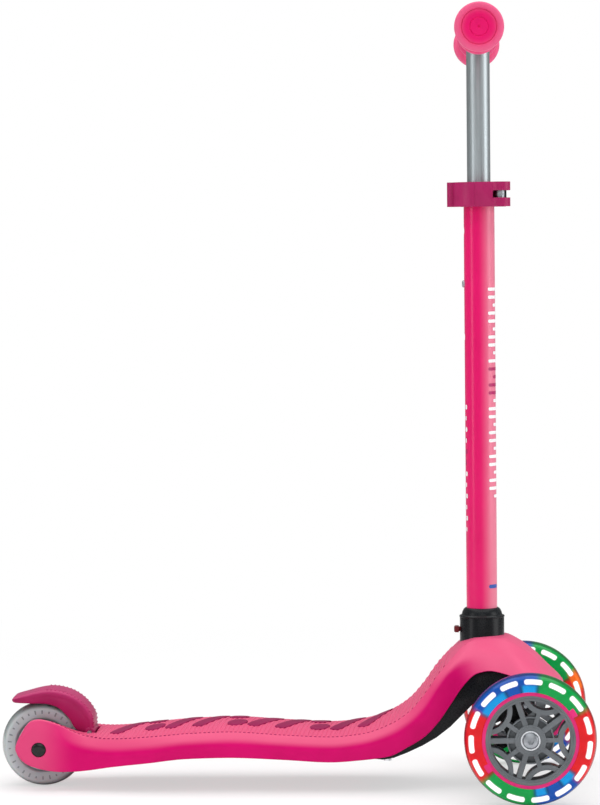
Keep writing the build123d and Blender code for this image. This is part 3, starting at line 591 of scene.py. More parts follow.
# ---- Deck moulding ----
# Stations along the deck in mm: x, roof height at the middle, seam half-width and height, shoulder
# half-width and height, skirt half-width and height, roundness of the seam and of the shoulder.
STATIONS = [
    (-262.4, 43.6, 41, 43.9, 43.2, 42.5, 42.6, 38.5, 2, 2),
    (-260.5, 47.5, 41.5, 48.8, 44, 45.5, 43.6, 34.5, 2.5, 3),
    (-256.5, 53, 41.5, 56.4, 44.4, 51, 44, 29.5, 3, 4),
    (-250.5, 60, 41.5, 65.2, 44.5, 57, 44.2, 25.2, 3, 6),
    (-246, 62.5, 41.5, 68.2, 44.5, 59, 44.2, 23.5, 3, 8),
    (-240, 63, 41.5, 69, 44.5, 58, 44.2, 21.6, 3, 8),
    (-231, 61.5, 41, 67.2, 44.8, 54, 44.3, 19.8, 2.5, 8),
    (-221, 58.5, 40.5, 63.4, 45.2, 48.5, 44.5, 18.8, 1.6, 7),
    (-208, 54.5, 40, 56.6, 46, 44, 44.7, 19, 1.2, 6),
    (-197, 52.8, 40.2, 52.8, 47.4, 41.2, 45.6, 20, 1.2, 6),
    (-172, 53.5, 45, 50.5, 52.2, 38.7, 50.2, 24, 1.2, 6),
    (-135, 57.5, 49, 52.5, 56.6, 41.8, 54.6, 28.5, 1.2, 6),
    (-100, 60.5, 50, 55.5, 58, 47, 56, 32.5, 1.2, 6),
    (-60, 62, 50, 57, 58, 48.5, 56, 33.5, 1.2, 6),
    (-10, 59, 50, 54, 58, 46, 56, 31.5, 1.2, 6),
    (35, 57, 50, 52, 58, 44, 56, 29, 1.2, 6),
    (65, 60, 50, 55, 58, 47.5, 56, 31, 1.2, 6),
    (90, 67.5, 50, 63.5, 58, 55, 56, 34.5, 1.2, 6),
    (108, 77.5, 50, 75, 58, 65, 56, 43.5, 1.2, 6),
    (122, 92, 49.5, 90.5, 57.5, 78.5, 56, 52, 1.4, 6),
    (135, 110, 48, 109, 57, 99.5, 56, 65, 3, 7),
    (147, 126, 42, 122.5, 55, 116.5, 56, 82, 8, 8),
    (160, 138, 32, 135.2, 50, 127, 57, 101, 9, 10),
    (172, 142.5, 27, 141, 46, 130.5, 58, 112, 9, 12),
    (185, 143.5, 26, 142, 46, 131, 62, 115, 10, 14),
    (200, 142.5, 28, 140, 54, 128, 70, 112.5, 12, 16),
    (213, 136.5, 31, 133.5, 62, 122.5, 80, 108.5, 14, 16),
    (227, 126, 31, 123.5, 64, 115, 84, 104, 14, 14),
    (240, 113, 27, 111, 56, 107, 72, 101, 10, 10),
    (250, 103, 20, 102.3, 38, 100.6, 50, 98.5, 4, 4),
    (254, 98, 14, 97.6, 26, 97, 34, 96, 1, 1),
]


def slopes(column):
    """Slopes at each station that keep the curve free of overshoot."""
    xs = [s[0] for s in STATIONS]
    ys = [s[column] for s in STATIONS]
    steps = [(ys[i + 1] - ys[i]) / (xs[i + 1] - xs[i]) for i in range(len(xs) - 1)]
    out = [steps[0]]
    for i in range(1, len(xs) - 1):
        a, b = steps[i - 1], steps[i]
        if a * b <= 0:
            out.append(0.0)
            continue
        ha, hb = xs[i] - xs[i - 1], xs[i + 1] - xs[i]
        wa, wb = 2 * hb + ha, hb + 2 * ha
        out.append((wa + wb) / (wa / a + wb / b))
    out.append(steps[-1])
    return out


SLOPES = [None] + [slopes(column) for column in range(1, 10)]


def station(x):
    """All nine deck measures at any x, in mm."""
    x = min(max(x, STATIONS[0][0]), STATIONS[-1][0])
    i = 0
    while i < len(STATIONS) - 2 and x > STATIONS[i + 1][0]:
        i += 1
    a, b = STATIONS[i], STATIONS[i + 1]
    h = b[0] - a[0]
    t = (x - a[0]) / h
    out = []
    for column in range(1, 10):
        m0, m1 = SLOPES[column][i] * h, SLOPES[column][i + 1] * h
        out.append((2 * t**3 - 3 * t**2 + 1) * a[column] + (t**3 - 2 * t**2 + t) * m0
                   + (3 * t**2 - 2 * t**3) * b[column] + (t**3 - t**2) * m1)
    return out


def deck_height(x, y):
    """Height of the tread at a point inside the seam, in mm."""
    top, seam_y, seam_z = station(x)[:3]
    return top - (top - seam_z) * (y / seam_y) ** 2


# The pocket under the deck runs below the skirt, and its roof is set in further than its walls.
POCKET_DROP = 12.0
ROOF_SHARE = 1.5


def half_section(x, inset):
    """The (y, z) outline of the left half from the middle of the roof to the skirt, in mm."""
    top, ws, zs, wc, zc, wb, zb, rs, rc = station(x)
    if inset:
        top, zs, zc, zb = top - inset * ROOF_SHARE, zs - inset * ROOF_SHARE, zc - inset, zb - POCKET_DROP
        ws, wc, wb = ws - 1.5, wc - inset, wb - inset
    roof = [(ws * t / 8.0, top - (top - zs) * (t / 8.0) ** 2) for t in range(8)]
    seam = corner(roof[-1], (ws, zs), (wc, zc), rs, 4)
    shoulder = corner((ws, zs), (wc, zc), (wb, zb), rc, 6)
    skirt = corner((wc, zc), (wb, zb), (0.0, zb), 1.6, 3)
    return roof + seam + shoulder + skirt


# Extra stations close to the tail and to the nose, where the deck rounds off.
TAIL_STEPS = (0.4, 0.9, 1.5, 2.4)
NOSE_STEPS = (0.5, 1.2, 2.2)


def deck_solid(name, x0, x1, step, inset=0.0):
    """A closed body between two stations; with an inset, the pocket inside the deck's walls."""
    count = max(2, round((x1 - x0) / step))
    xs = {x0 + (x1 - x0) * i / count for i in range(count + 1)}
    if not inset:
        xs |= {x0 + d for d in TAIL_STEPS} | {x1 - d for d in NOSE_STEPS}
    rings = []
    for x in sorted(xs):
        half = half_section(x, inset)
        ring = [(x, y, z) for y, z in half] + [(x, -y, z) for y, z in reversed(half[1:])]
        rings.append([Vector(p) * MM for p in ring])
    shape = ([], [])
    add_loft(shape, rings)
    return mesh_piece(name, *shape)


FORK_INNER_Y = 20.0
FORK_FRONT_X = -197.0
HINGE_GAP_X = (-210.0, -188.0)
HINGE_GAP_Z = 46.5
POCKET_X = (-190.0, 247.0)
WALL = 3.4
SOCKET_R = 21.0
SOCKET_Z = (90.0, 170.0)
CAP_SEAT_R = 7.0
CAP_SEAT_Y = (40.6, 60.0)
# The fork's cutting boxes run past the tail and over it.
PAST_TAIL_X = -280.0
OVER_TAIL_Z = 90.0


def make_deck():
    deck = deck_solid("deck_shell", STATIONS[0][0], STATIONS[-1][0], 3.0)
    tools = [
        deck_solid("pocket", *POCKET_X, 4.0, inset=WALL),
        prism_tool(rectangle(PAST_TAIL_X, FORK_FRONT_X, 0, OVER_TAIL_Z), FORK_INNER_Y),
        prism_tool(rectangle(*HINGE_GAP_X, HINGE_GAP_Z, OVER_TAIL_Z), FORK_INNER_Y),
        lathe("tool", rectangle(0, SOCKET_R + 0.2, *SOCKET_Z), "Z", Vector((COLUMN_X, 0, 0)), 64),
    ]
    axle = Vector((REAR_AXLE.x, 0, REAR_AXLE.z))
    for y0, y1 in (CAP_SEAT_Y, (-CAP_SEAT_Y[1], -CAP_SEAT_Y[0])):
        tools.append(lathe("tool", rectangle(0, CAP_SEAT_R, y0, y1), "Y", axle, 48))
    cut(deck, tools)
    finish_piece(deck, "deck_assembly", PINK, sharp=38.0, replaces=("deck",))
    make_underside_ribs()
    make_tread()
    make_inlays()


# Stiffening ribs under the tread, in mm.
CROSS_RIB_X = (-165, -130, -95, -60, -25, 10, 40, 66)
LONG_RIB_X = [-165 + i * 7.7 for i in range(31)]
LONG_RIB_Y = (-25.0, 0.0, 25.0)
PLATE_HALF = 0.8
UNDER_ROOF = 4.5
OVER_SKIRT = 2.0


def make_underside_ribs():
    """Cross ribs and three long ribs under the tread, as thin plates inside the shell."""
    shape = ([], [])

    def plate(outline, normal):
        sides = (-PLATE_HALF, PLATE_HALF)
        add_loft(shape, [[(Vector(p) + normal * side) * MM for p in outline] for side in sides])

    for x in CROSS_RIB_X:
        ws, zs, wc, zc, wb, zb = station(x)[1:7]
        left = [(wb - 3, zb + OVER_SKIRT), (wc - 3.2, zc - 3), (ws - 1, zs - UNDER_ROOF)]
        upper = [(x, -y, z) for y, z in left] + [(x, y, z) for y, z in reversed(left)]
        plate([*upper, (x, 0.0, zb + OVER_SKIRT)], Vector((1, 0, 0)))
    for y in LONG_RIB_Y:
        upper = [(x, y, station(x)[0] - UNDER_ROOF) for x in LONG_RIB_X]
        lower = [(x, y, station(x)[6] + OVER_SKIRT) for x in reversed(LONG_RIB_X)]
        plate(upper + lower, Vector((0, 1, 0)))
    finish_piece(mesh_piece("deck_ribs", *shape), "deck_assembly", PINK, sharp=30.0)


# Fine ribs on the tread and the darker dashes past their ends that paint the shade there, in mm; the lean is
# per mm across.
RIB_PITCH = 4.15
RIB_LEAN = 0.09
TREAD_X = (-224.0, 152.0)
RIB_SECTION = [(-1.5, -0.3), (-0.95, 0.42), (0.95, 0.42), (1.5, -0.3)]
SEAM_SHADE_SECTION = [(-1.15, -0.3), (-1.15, 0.12), (1.15, 0.12), (1.15, -0.3)]
RIB_END_GAP = 1.1
SEAM_SHADE_REACH = (0.05, 0.75)
RIB_STEPS = 20


def on_tread(x, y, section):
    """A rib's cross-section stood on the tread at a point, along the deck."""
    tilt = (deck_height(x + 1, y) - deck_height(x - 1, y)) / 2
    scale = 1 / math.sqrt(1 + tilt * tilt)
    z = deck_height(x, y)
    return [Vector((x + (dx - tilt * dz) * scale, y, z + (tilt * dx + dz) * scale)) * MM
            for dx, dz in section]


def tread_is_open(x, y):
    """False where the fork gap or the column socket interrupts the tread."""
    fork = x < FORK_FRONT_X + 9.5 and abs(y) < FORK_INNER_Y + 1.0
    socket = (x - COLUMN_X / MM) ** 2 + y * y < (SOCKET_R + 8.0) ** 2
    return not fork and not socket


def make_tread():
    """Fine ribs across the tread, and darker dashes past their ends that paint the shade of the rib ends
    along its edge.
    """
    ribs, seam_shades = ([], []), ([], [])
    for i in range(int((TREAD_X[1] - TREAD_X[0]) / RIB_PITCH)):
        x0 = TREAD_X[0] + i * RIB_PITCH
        edge = station(x0)[1] - RIB_END_GAP
        run = []
        for k in range(RIB_STEPS + 1):
            y = edge * (2 * k / RIB_STEPS - 1)
            x = x0 + RIB_LEAN * y
            is_open = tread_is_open(x, y)
            if is_open:
                run.append((x, y))
            if run and (k == RIB_STEPS or not is_open):
                if len(run) > 1:
                    add_loft(ribs, [on_tread(px, py, RIB_SECTION) for px, py in run])
                run = []
        for side in (-1, 1):
            x = x0 + RIB_LEAN * edge * side
            add_loft(seam_shades, [on_tread(x, (edge + reach) * side, SEAM_SHADE_SECTION) for reach in SEAM_SHADE_REACH])
    tread = mesh_piece("deck_tread", *ribs)
    finish_piece(tread, "deck_assembly", PINK_TREAD, sharp=30.0)
    # Painted shade: darker dashes past the rib ends.
    seam = mesh_piece("deck_seam_shade", *seam_shades)
    finish_piece(seam, "deck_assembly", INLAY, sharp=30.0)


def pill_outline(half_l, half_w, power, count=40):
    """A closed outline between an ellipse (power 2) and a rounded bar."""
    out = []
    for i in range(count):
        a = 2 * math.pi * i / count
        c, s = math.cos(a), math.sin(a)
        out.append((half_w * math.copysign(abs(c) ** (2 / power), c),
                    half_l * math.copysign(abs(s) ** (2 / power), s)))
    return out


def capped(shape, outline, levels, place):
    """Stacks shrunken copies of an outline: place(u, v, lift) gives the point in metres."""
    add_loft(shape, [[place(u * shrink, v * shrink, lift) for u, v in outline] for shrink, lift in levels])


# Raised inlays: a bar and an oval as (half length, half width, outline power), and (shrink, lift) levels.
INLAY_COUNT = 10
INLAY_START_X = -158.0
INLAY_PITCH = 26.0
INLAY_LEAN = math.radians(-24.0)
INLAY_BAR = (31.0, 6.5, 5.0)
INLAY_OVAL = (13.0, 8.5, 2.0)
INLAY_OVAL_Y = 17.0
INLAY_LEVELS = [(1.0, -0.6), (1.0, 0.75), (0.95, 1.05), (0.7, 1.08), (0.4, 1.08), (0.05, 1.08)]


def make_inlays():
    """Raised bars and ovals let into the tread."""
    shape = ([], [])

    def inlay(cx, cy, outline):
        def place(u, v, lift):
            x = cx + u * math.cos(INLAY_LEAN) - v * math.sin(INLAY_LEAN)
            y = cy + u * math.sin(INLAY_LEAN) + v * math.cos(INLAY_LEAN)
            return Vector((x, y, deck_height(x, y) + lift)) * MM

        capped(shape, pill_outline(*outline), INLAY_LEVELS, place)

    for i in range(INLAY_COUNT):
        x = INLAY_START_X + INLAY_PITCH * i
        if i % 3 == 1:
            inlay(x, INLAY_OVAL_Y, INLAY_OVAL)
            inlay(x, -INLAY_OVAL_Y, INLAY_OVAL)
        else:
            inlay(x, 0.0, INLAY_BAR)
    piece = mesh_piece("tread_inlays", *shape)
    finish_piece(piece, "deck_assembly", INLAY, sharp=40.0, replaces=("deck_inlays",))


# ---- Column graphics ----
PATCH_LIFT = 0.12
PATCH_THICKNESS = 0.1
PATCH_ROWS, PATCH_COLUMNS = 18, 16


def tube_patch(name, z0, z1, a0, a1, rounding, made):
    """A thin vinyl patch on the lower tube between two heights (mm) and two angles from the front (deg)."""
    radius = TUBE_R + PATCH_LIFT * MM
    half_w = TUBE_R * math.radians(a1 - a0) / 2
    half_h = (z1 - z0) / 2 * MM
    r = min(rounding * MM, half_w, half_h)
    points, faces = [], []
    for i in range(PATCH_ROWS + 1):
        v = -half_h * math.cos(math.pi * i / PATCH_ROWS)
        over = max(0.0, abs(v) - (half_h - r))
        width = half_w - r + math.sqrt(max(r * r - over * over, 0.0))
        for j in range(PATCH_COLUMNS + 1):
            a = math.radians((a0 + a1) / 2) + width * (2 * j / PATCH_COLUMNS - 1) / TUBE_R
            z = (z0 + z1) / 2 * MM + v
            points.append((COLUMN_X + radius * math.cos(a), radius * math.sin(a), z))
    for i in range(PATCH_ROWS):
        for j in range(PATCH_COLUMNS):
            a = i * (PATCH_COLUMNS + 1) + j
            faces.append((a, a + 1, a + PATCH_COLUMNS + 2, a + PATCH_COLUMNS + 1))
    patch = mesh_piece(name, points, faces)
    thick = patch.modifiers.new("thick", "SOLIDIFY")
    thick.thickness = PATCH_THICKNESS * MM
    thick.offset = 0.0
    apply_modifiers(patch)
    finish_piece(patch, "column", made, sharp=60.0)


# Rows of marks down the tube: name, how many, the top one's height, pitch and half height in mm, the
# (start, end) angles in degrees, which take turns, and the magenta ones.
MARKS = [
    ("front_bar", 27, 469.0, 7.5, 1.5, [(-58.0, 58.0), (-58.0, 58.0), (-34.0, 34.0)], range(10, 14)),
    ("rear_mark", 12, 358.0, 10.5, 2.2, [(196.0, 210.0), (196.0, 205.0)], range(4, 6)),
]
MARK_ROUNDING = 1.2
BLUE_TAB = (187.0, 190.5, -62.0, -14.0, 1.5)


def make_graphics():
    """Generic bars down the front of the tube and a row of small marks down its rear."""
    for name, count, top, pitch, half, angles, magenta in MARKS:
        for i in range(count):
            made = MAGENTA_VINYL if i in magenta else WHITE_VINYL
            z = top - pitch * i
            tube_patch(f"{name}_{i}", z - half, z + half, *angles[i % len(angles)], MARK_ROUNDING, made)
    tube_patch("front_tab_blue", *BLUE_TAB, BLUE_VINYL)


# ---- Wheels ----
# Turned profiles as (radius, along the axle) in mm, each with the rounding of its corners.
FRONT_TYRE = ([(45.4, -11.45), (44.2, -11.55), (44.6, -12.0), (57.0, -12.0), (60.5, -5.0), (60.5, 5.0),
               (57.0, 12.0), (44.6, 12.0), (44.2, 11.55), (45.4, 11.45)],
              [0, 0.1, 0.2, 2.6, 4.5, 4.5, 2.6, 0.2, 0.1, 0])
HUB_RING = ([(20.4, 4.0), (20.4, 9.3), (21.7, 9.3), (21.7, 4.0)], [0, 0.4, 0.4, 0])
HUB_LIP = ([(40.4, 10.6), (41.1, 11.7), (39.6, 11.9), (38.4, 10.6)], [0, 0.3, 0.5, 0])
HUB_COLLAR = ([(9.0, 10.4), (9.0, 11.5), (10.6, 11.9), (12.2, 11.5), (12.2, 10.4)], [0, 0.3, 0.5, 0.3, 0])
REAR_TYRE = ([(24.0, -12.0), (26.0, -14.0), (36.0, -14.0), (40.0, -5.0), (40.0, 5.0), (36.0, 14.0),
              (26.0, 14.0), (24.0, 12.0)],
             [0, 1.0, 3.5, 6.0, 6.0, 3.5, 1.0, 0])


def make_front_wheel(side):
    body = f"{side}_wheel"
    tyre = lathe(f"{side}_tyre_cast", rounded_profile(*FRONT_TYRE, 5), "Y", FRONT_AXLE[side], 144)
    finish_piece(tyre, body, LIT_URETHANE[side], sharp=40.0,
                 replaces=(f"{side}_wheel_tyre",))
    make_windows(side)
    refined(f"{side}_wheel_rim_ring", body, PINK_RIM, 0.5)
    refined(f"{side}_wheel_hub", body, GREY_HUB, 0.5)
    make_hub_detail(side, "hub_ring", HUB_RING, 80, 40.0)
    make_hub_detail(side, "hub_lip", HUB_LIP, 96, 50.0)
    refined(f"{side}_axle_bolt", f"{side}_knuckle", BOLT_STEEL, 0.3)
    make_hub_detail(side, "hub_collar", HUB_COLLAR, 64, 50.0)
    make_tabs(side)
    for piece in ("bearings", "bearing_spacer"):
        keep_node(f"{side}_wheel_{piece}", STEEL)
    keep_node(f"{side}_wheel_led_modules", LAMP)


def make_hub_detail(side, name, outline, segments, sharp):
    """A turned ring on the outboard face of a front hub."""
    profile = [(r, OUTWARD[side] * y) for r, y in rounded_profile(*outline, 2)]
    ring = lathe(f"{side}_{name}", profile, "Y", FRONT_AXLE[side], segments)
    finish_piece(ring, f"{side}_wheel", GREY_HUB, sharp=sharp)


def add_round(shape, at, out, radius, turns, outlines, levels):
    """Adds small raised shapes on a wheel's side at angles in degrees; the outlines take turns."""
    for i, turn in enumerate(turns):
        def place(radial, along, depth):
            r = radius + radial
            a = math.radians(turn) + along / radius
            return at + Vector((r * math.sin(a), out * depth, r * math.cos(a))) * MM

        capped(shape, outlines[i % len(outlines)], levels, place)


def evenly(count, start=0.0):
    return [start + i * 360.0 / count for i in range(count)]


TAB_R = 45.9
TAB_TURNS = (57.0, 237.0)
TAB_LEVELS = [(1.0, 11.2), (1.0, 11.95), (0.9, 12.1)]
WINDOW_LEVELS = [(1.06, 11.4), (1.06, 12.02), (0.92, 12.18), (0.45, 12.24)]


def make_tabs(side):
    """Two locking tabs of the rim, showing through the tyre's side wall."""
    shape = ([], [])
    add_round(shape, FRONT_AXLE[side], OUTWARD[side], TAB_R, TAB_TURNS, [pill_outline(4.0, 2.9, 8.0, 32)],
              TAB_LEVELS)
    tabs = mesh_piece(f"{side}_rim_tabs", *shape)
    finish_piece(tabs, f"{side}_wheel", PINK_RIM, sharp=50.0)


def make_windows(side):
    """Domed light windows in the outboard wall of the tyre."""
    shape = ([], [])
    add_round(shape, FRONT_AXLE[side], OUTWARD[side], WINDOW_R, evenly(WINDOW_COUNT, WINDOW_START),
              [pill_outline(*WINDOW_HALF, 4.0, 36)], WINDOW_LEVELS)
    windows = mesh_piece(f"{side}_windows", *shape)
    finish_piece(windows, f"{side}_wheel", LIT_URETHANE[side], sharp=50.0,
                 replaces=(f"{side}_wheel_light_windows",))


# The rear wheel's side: the plate round the hub, black marks on it that paint the shade of slots, and the
# dashes on the tyre.
PLATE_R = (15.0, 23.8)
SLOT_COUNT, SLOT_START, SLOT_R = 12, 15.0, 20.2
SLOT_SHADE_OUTLINES = [pill_outline(3.3, 1.6, 3.0, 24)]
DASH_COUNT, DASH_R = 30, 31.5
DASHES = [pill_outline(0.75, half, 5.0, 16) for half in (1.7, 1.1, 2.0)]
DASH_LEVELS = [(1.0, 13.8), (1.0, 14.05)]


def make_rear_wheel():
    tyre = lathe("rear_tyre_cast", rounded_profile(*REAR_TYRE, 5), "Y", REAR_AXLE, 128)
    finish_piece(tyre, "rear_wheel", GREY_URETHANE, sharp=40.0, replaces=("rear_tyre",))
    refined("rear_hub", "rear_wheel", GREY_HUB, 0.5)
    marks, slot_shades = ([], []), ([], [])
    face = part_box("rear_hub")[1].y / MM
    for side, out in OUTWARD.items():
        plate = rectangle(*PLATE_R, face - 1.2, face + 0.1)
        ring = lathe(f"rear_hub_plate_{side}", [(r, out * y) for r, y in plate], "Y", REAR_AXLE, 64)
        finish_piece(ring, "rear_wheel", PALE_HUB, sharp=40.0)
        add_round(slot_shades, REAR_AXLE, out, SLOT_R, evenly(SLOT_COUNT, SLOT_START), SLOT_SHADE_OUTLINES,
                  [(1.0, face - 0.3), (1.0, face + 0.2)])
        add_round(marks, REAR_AXLE, out, DASH_R, evenly(DASH_COUNT), DASHES, DASH_LEVELS)
    # Painted shade: black marks where slots through the plate would look dark.
    finish_piece(mesh_piece("rear_hub_slot_shades", *slot_shades), "rear_wheel", BLACK, sharp=40.0)
    tyre_marks = mesh_piece("rear_tyre_marks", *marks)
    finish_piece(tyre_marks, "rear_wheel", PALE_TYRE_MARK, sharp=40.0)
    refined("rear_axle_caps", "deck_assembly", GLOSS_BLACK, 0.9)
    for piece in ("rear_bearings", "rear_spacer", "rear_axle", "brake_pad"):
        keep_node(piece, STEEL)
    keep_node("brake_pin", BOLT_STEEL)
    keep_node("brake_spring", BLACK)


# ---- Foot brake ----
# The saddle's upper and lower lines in side view, as (x, z) in mm.
BRAKE_TOP = [(-268.6, 85.4), (-262, 87.4), (-255, 89.3), (-246, 91.7), (-238, 93.2), (-231, 93.5),
             (-222, 92.2), (-212, 88.8), (-203, 82.8), (-196, 75.2), (-191.4, 66.5), (-191.0, 57.5)]
BRAKE_UNDER = [(-268.0, 81.2), (-262, 80.6), (-254, 80.2), (-246, 80.1), (-238, 80.0), (-231, 78.7),
               (-224, 75.6), (-217.5, 69.6), (-213, 64.0), (-209.6, 57.8), (-204, 52.6), (-197, 50.4)]
# Half the saddle's section: distance from the middle, and depth below the top where it is 12 mm deep.
FULL_DEPTH = 12.0
BRAKE_SECTION = [(0.0, -0.3), (8.0, -0.2), (14.0, 0.1), (17.0, 0.7), (18.8, 1.8), (19.45, 3.2), (19.4, 4.6),
                 (18.9, 6.0), (18.3, 8.0), (17.9, 11.2), (17.3, 12.0)]
# The share of its depth that the saddle has at its first few sections, from the tail.
TAIL_PINCH = (0.45, 0.8, 0.95, 1.0)
WHEEL_RELIEF_R, WHEEL_RELIEF_HALF = 44.4, 15.8
BRAKE_HINGE = (-194.5, 53.0)
BARREL_R, BARREL_HALF = 4.5, 19.4
RIDGE_PROFILE = [(0, -17.4), (0.6, -17.2), (0.9, -16.6), (1.0, -15.5), (1.0, 15.5), (0.9, 16.6),
                 (0.6, 17.2), (0, 17.4)]
RIDGE_START_X = -238.0
RIDGE_SPACING = 3.7
RIDGE_SINK = (0.5, 0.75)


def smooth_line(points, count):
    """Evenly spread points on a smooth curve through the given ones."""
    out = []
    last = len(points) - 1
    for i in range(count + 1):
        place = last * i / count
        k = min(int(place), last - 1)
        t = place - k
        a, b, c, d = (Vector(points[min(max(k + j, 0), last)]) for j in (-1, 0, 1, 2))
        curve = (c - a) * t + (2 * a - 5 * b + 4 * c - d) * t * t + (3 * b - a - 3 * c + d) * t**3
        out.append(b + curve / 2)
    return out


def saddle_ring(a, b, pinch):
    """One section of the saddle, from its top point a to its lower point b in side view."""
    middle = (a + b) / 2
    a, b = middle + (a - middle) * pinch, middle + (b - middle) * pinch
    narrow = 0.9 + 0.1 * pinch
    depth = (b - a).length
    down = (b - a).normalized()
    half = [(y, a + down * s * min(1.0, depth / FULL_DEPTH)) for y, s in BRAKE_SECTION]
    half[-2:] = [(17.9, b - down * min(0.8, depth * 0.3)), (17.3, b)]
    ring = [Vector((p.x, y * narrow, p.y)) * MM for y, p in half]
    return ring + [Vector((p.x, -y * narrow, p.y)) * MM for y, p in reversed(half[1:])]


def make_brake():
    """Foot brake: a saddle with a flared upper edge, ridges over its front and a barrel hinge."""
    rings = []
    for i, (a, b) in enumerate(zip(smooth_line(BRAKE_TOP, 66), smooth_line(BRAKE_UNDER, 66))):
        rings.append(saddle_ring(a, b, TAIL_PINCH[min(i, 3)]))
    shape = ([], [])
    add_loft(shape, rings)
    saddle = mesh_piece("brake_saddle", *shape)
    relief = rectangle(0, WHEEL_RELIEF_R, -WHEEL_RELIEF_HALF, WHEEL_RELIEF_HALF)
    cut(saddle, [lathe("tool", relief, "Y", Vector((REAR_AXLE.x, 0, REAR_AXLE.z)), 128)])
    finish_piece(saddle, "rear_brake", MAGENTA, sharp=40.0, replaces=("rear_brake",))
    barrel_profile = rounded_profile(rectangle(0, BARREL_R, -BARREL_HALF, BARREL_HALF), [0, 0.8, 0.8, 0], 3)
    barrel = lathe("brake_barrel", barrel_profile, "Y", Vector((BRAKE_HINGE[0], 0, BRAKE_HINGE[1])) * MM, 32)
    finish_piece(barrel, "rear_brake", MAGENTA, sharp=40.0)
    make_brake_ridges()


def make_brake_ridges():
    """Round ridges partly sunk in the saddle's top, evenly spaced along it."""
    line = smooth_line(BRAKE_TOP, 400)
    travelled, count = 0.0, 0
    for before, point in zip(line, line[1:]):
        if point.x < RIDGE_START_X:
            continue
        travelled += (point - before).length
        if travelled >= RIDGE_SPACING:
            travelled = 0.0
            count += 1
            at = Vector((point.x - RIDGE_SINK[0], 0, point.y - RIDGE_SINK[1])) * MM
            ridge = lathe(f"brake_ridge_{count}", RIDGE_PROFILE, "Y", at, 16)
            finish_piece(ridge, "rear_brake", MAGENTA, sharp=50.0)


# ---- Handlebar, column, clamp and chassis ----
# A grip's inner collar as (radius, distance from the middle of the bar) and its safety disc as (radius,
# distance from the grip's end), in mm, each with its rounding; the sleeve between them carries the ribs.
GRIP_COLLAR = ([(11.05, 36.0), (19.5, 36.0), (19.5, 42.0), (15.2, 45.0)], [0.4, 2.4, 2.4, 1.5])
GRIP_DISC = ([(17.0, 12.0), (22.5, 9.5), (22.5, 0.0), (16.6, 0.0), (16.0, 1.6), (15.4, 0.7), (9.0, 0.9),
              (8.4, 1.8), (7.8, 1.0), (1.6, 1.3), (0.9, 2.4), (0.0, 2.4), (0.0, 6.0), (11.05, 6.0)],
             [2.5, 3.6, 4.2, 0.9, 0.7, 1.2, 1.0, 0.6, 0.8, 0.5, 0.3, 0, 0, 0])
GRIP_RIBS = 12
RIBS_START, RIBS_END_GAP = 45.0, 14.0
SLEEVE_R, RIB_R = 15.2, 16.1


def make_grip(side):
    end = GRIP_END_Y / MM
    corners, radii = list(GRIP_COLLAR[0]), list(GRIP_COLLAR[1])
    pitch = (end - RIBS_END_GAP - RIBS_START) / GRIP_RIBS
    for i in range(GRIP_RIBS):
        y = RIBS_START + i * pitch
        corners += [(SLEEVE_R, y + 1.2), (RIB_R, y + 2.2), (RIB_R, y + pitch - 2.0),
                    (SLEEVE_R, y + pitch - 1.0)]
        radii += [0.5, 0.8, 0.8, 0.5]
    corners += [(r, end - s) for r, s in GRIP_DISC[0]]
    radii += GRIP_DISC[1]
    profile = [(max(r, 0.0), OUTWARD[side] * s) for r, s in rounded_profile(corners, radii, 4)]
    grip = lathe(f"{side}_grip_soft", profile, "Y", Vector((COLUMN_X, 0, BAR_Z)), 96)
    finish_piece(grip, "handlebar", PINK_RUBBER, sharp=50.0, replaces=(f"{side}_grip",))


def make_column():
    keep_node("upper_tube", ANODISED)
    keep_node("crossbar", ANODISED)
    keep_node("lower_tube", PINK_PAINT)
    for node in ("foot_bush", "top_bush", "cam_washer"):
        keep_node(node, BLACK)
    for node in ("snap_button", "snap_spring", "latch_clip", "cam_pin", "clamp_nut", "clamp_bolt"):
        keep_node(node, BOLT_STEEL)
    refined("clamp_lever", "clamp_lever", MAGENTA, 1.6, 4)
    refined("clamp_collar", "column", MAGENTA, 1.5, 4)


# The wedge taken off under the chassis plate's rear edge, as (x, z) in mm.
CHASSIS_WEDGE = [(60, 20), (60, 31.4), (72, 31.4), (84.2, 30.3), (84.2, 20)]


def make_chassis():
    chassis = refined("under_chassis", "deck_assembly", BLACK, 1.2, 3)
    cut(chassis, [prism_tool(CHASSIS_WEDGE, 60.0)])
    refined("bar_socket", "deck_assembly", BLACK, 0.6)
    refined("socket_cap", "deck_assembly", BLACK, 0.5)
    refined("release_button", "release_button", RED, 0.3)
    refined("tie_rod", "tie_rod", BLACK, 0.6)
    for side in ("left", "right"):
        refined(f"{side}_knuckle", f"{side}_knuckle", BLACK, 0.8, 3)
        keep_node(f"{side}_kingpin_bushes", BLACK)
        keep_node(f"{side}_tie_pin", STEEL)
    for node in ("kingpins", "kingpin_nuts", "chassis_screws", "centring_springs"):
        keep_node(node, STEEL)


# ---- Stage, lights and camera ----
STAGE_RADII = (0.0, 0.7, 1.5, 3.0, 9.0)
STAGE_SEGMENTS = 96


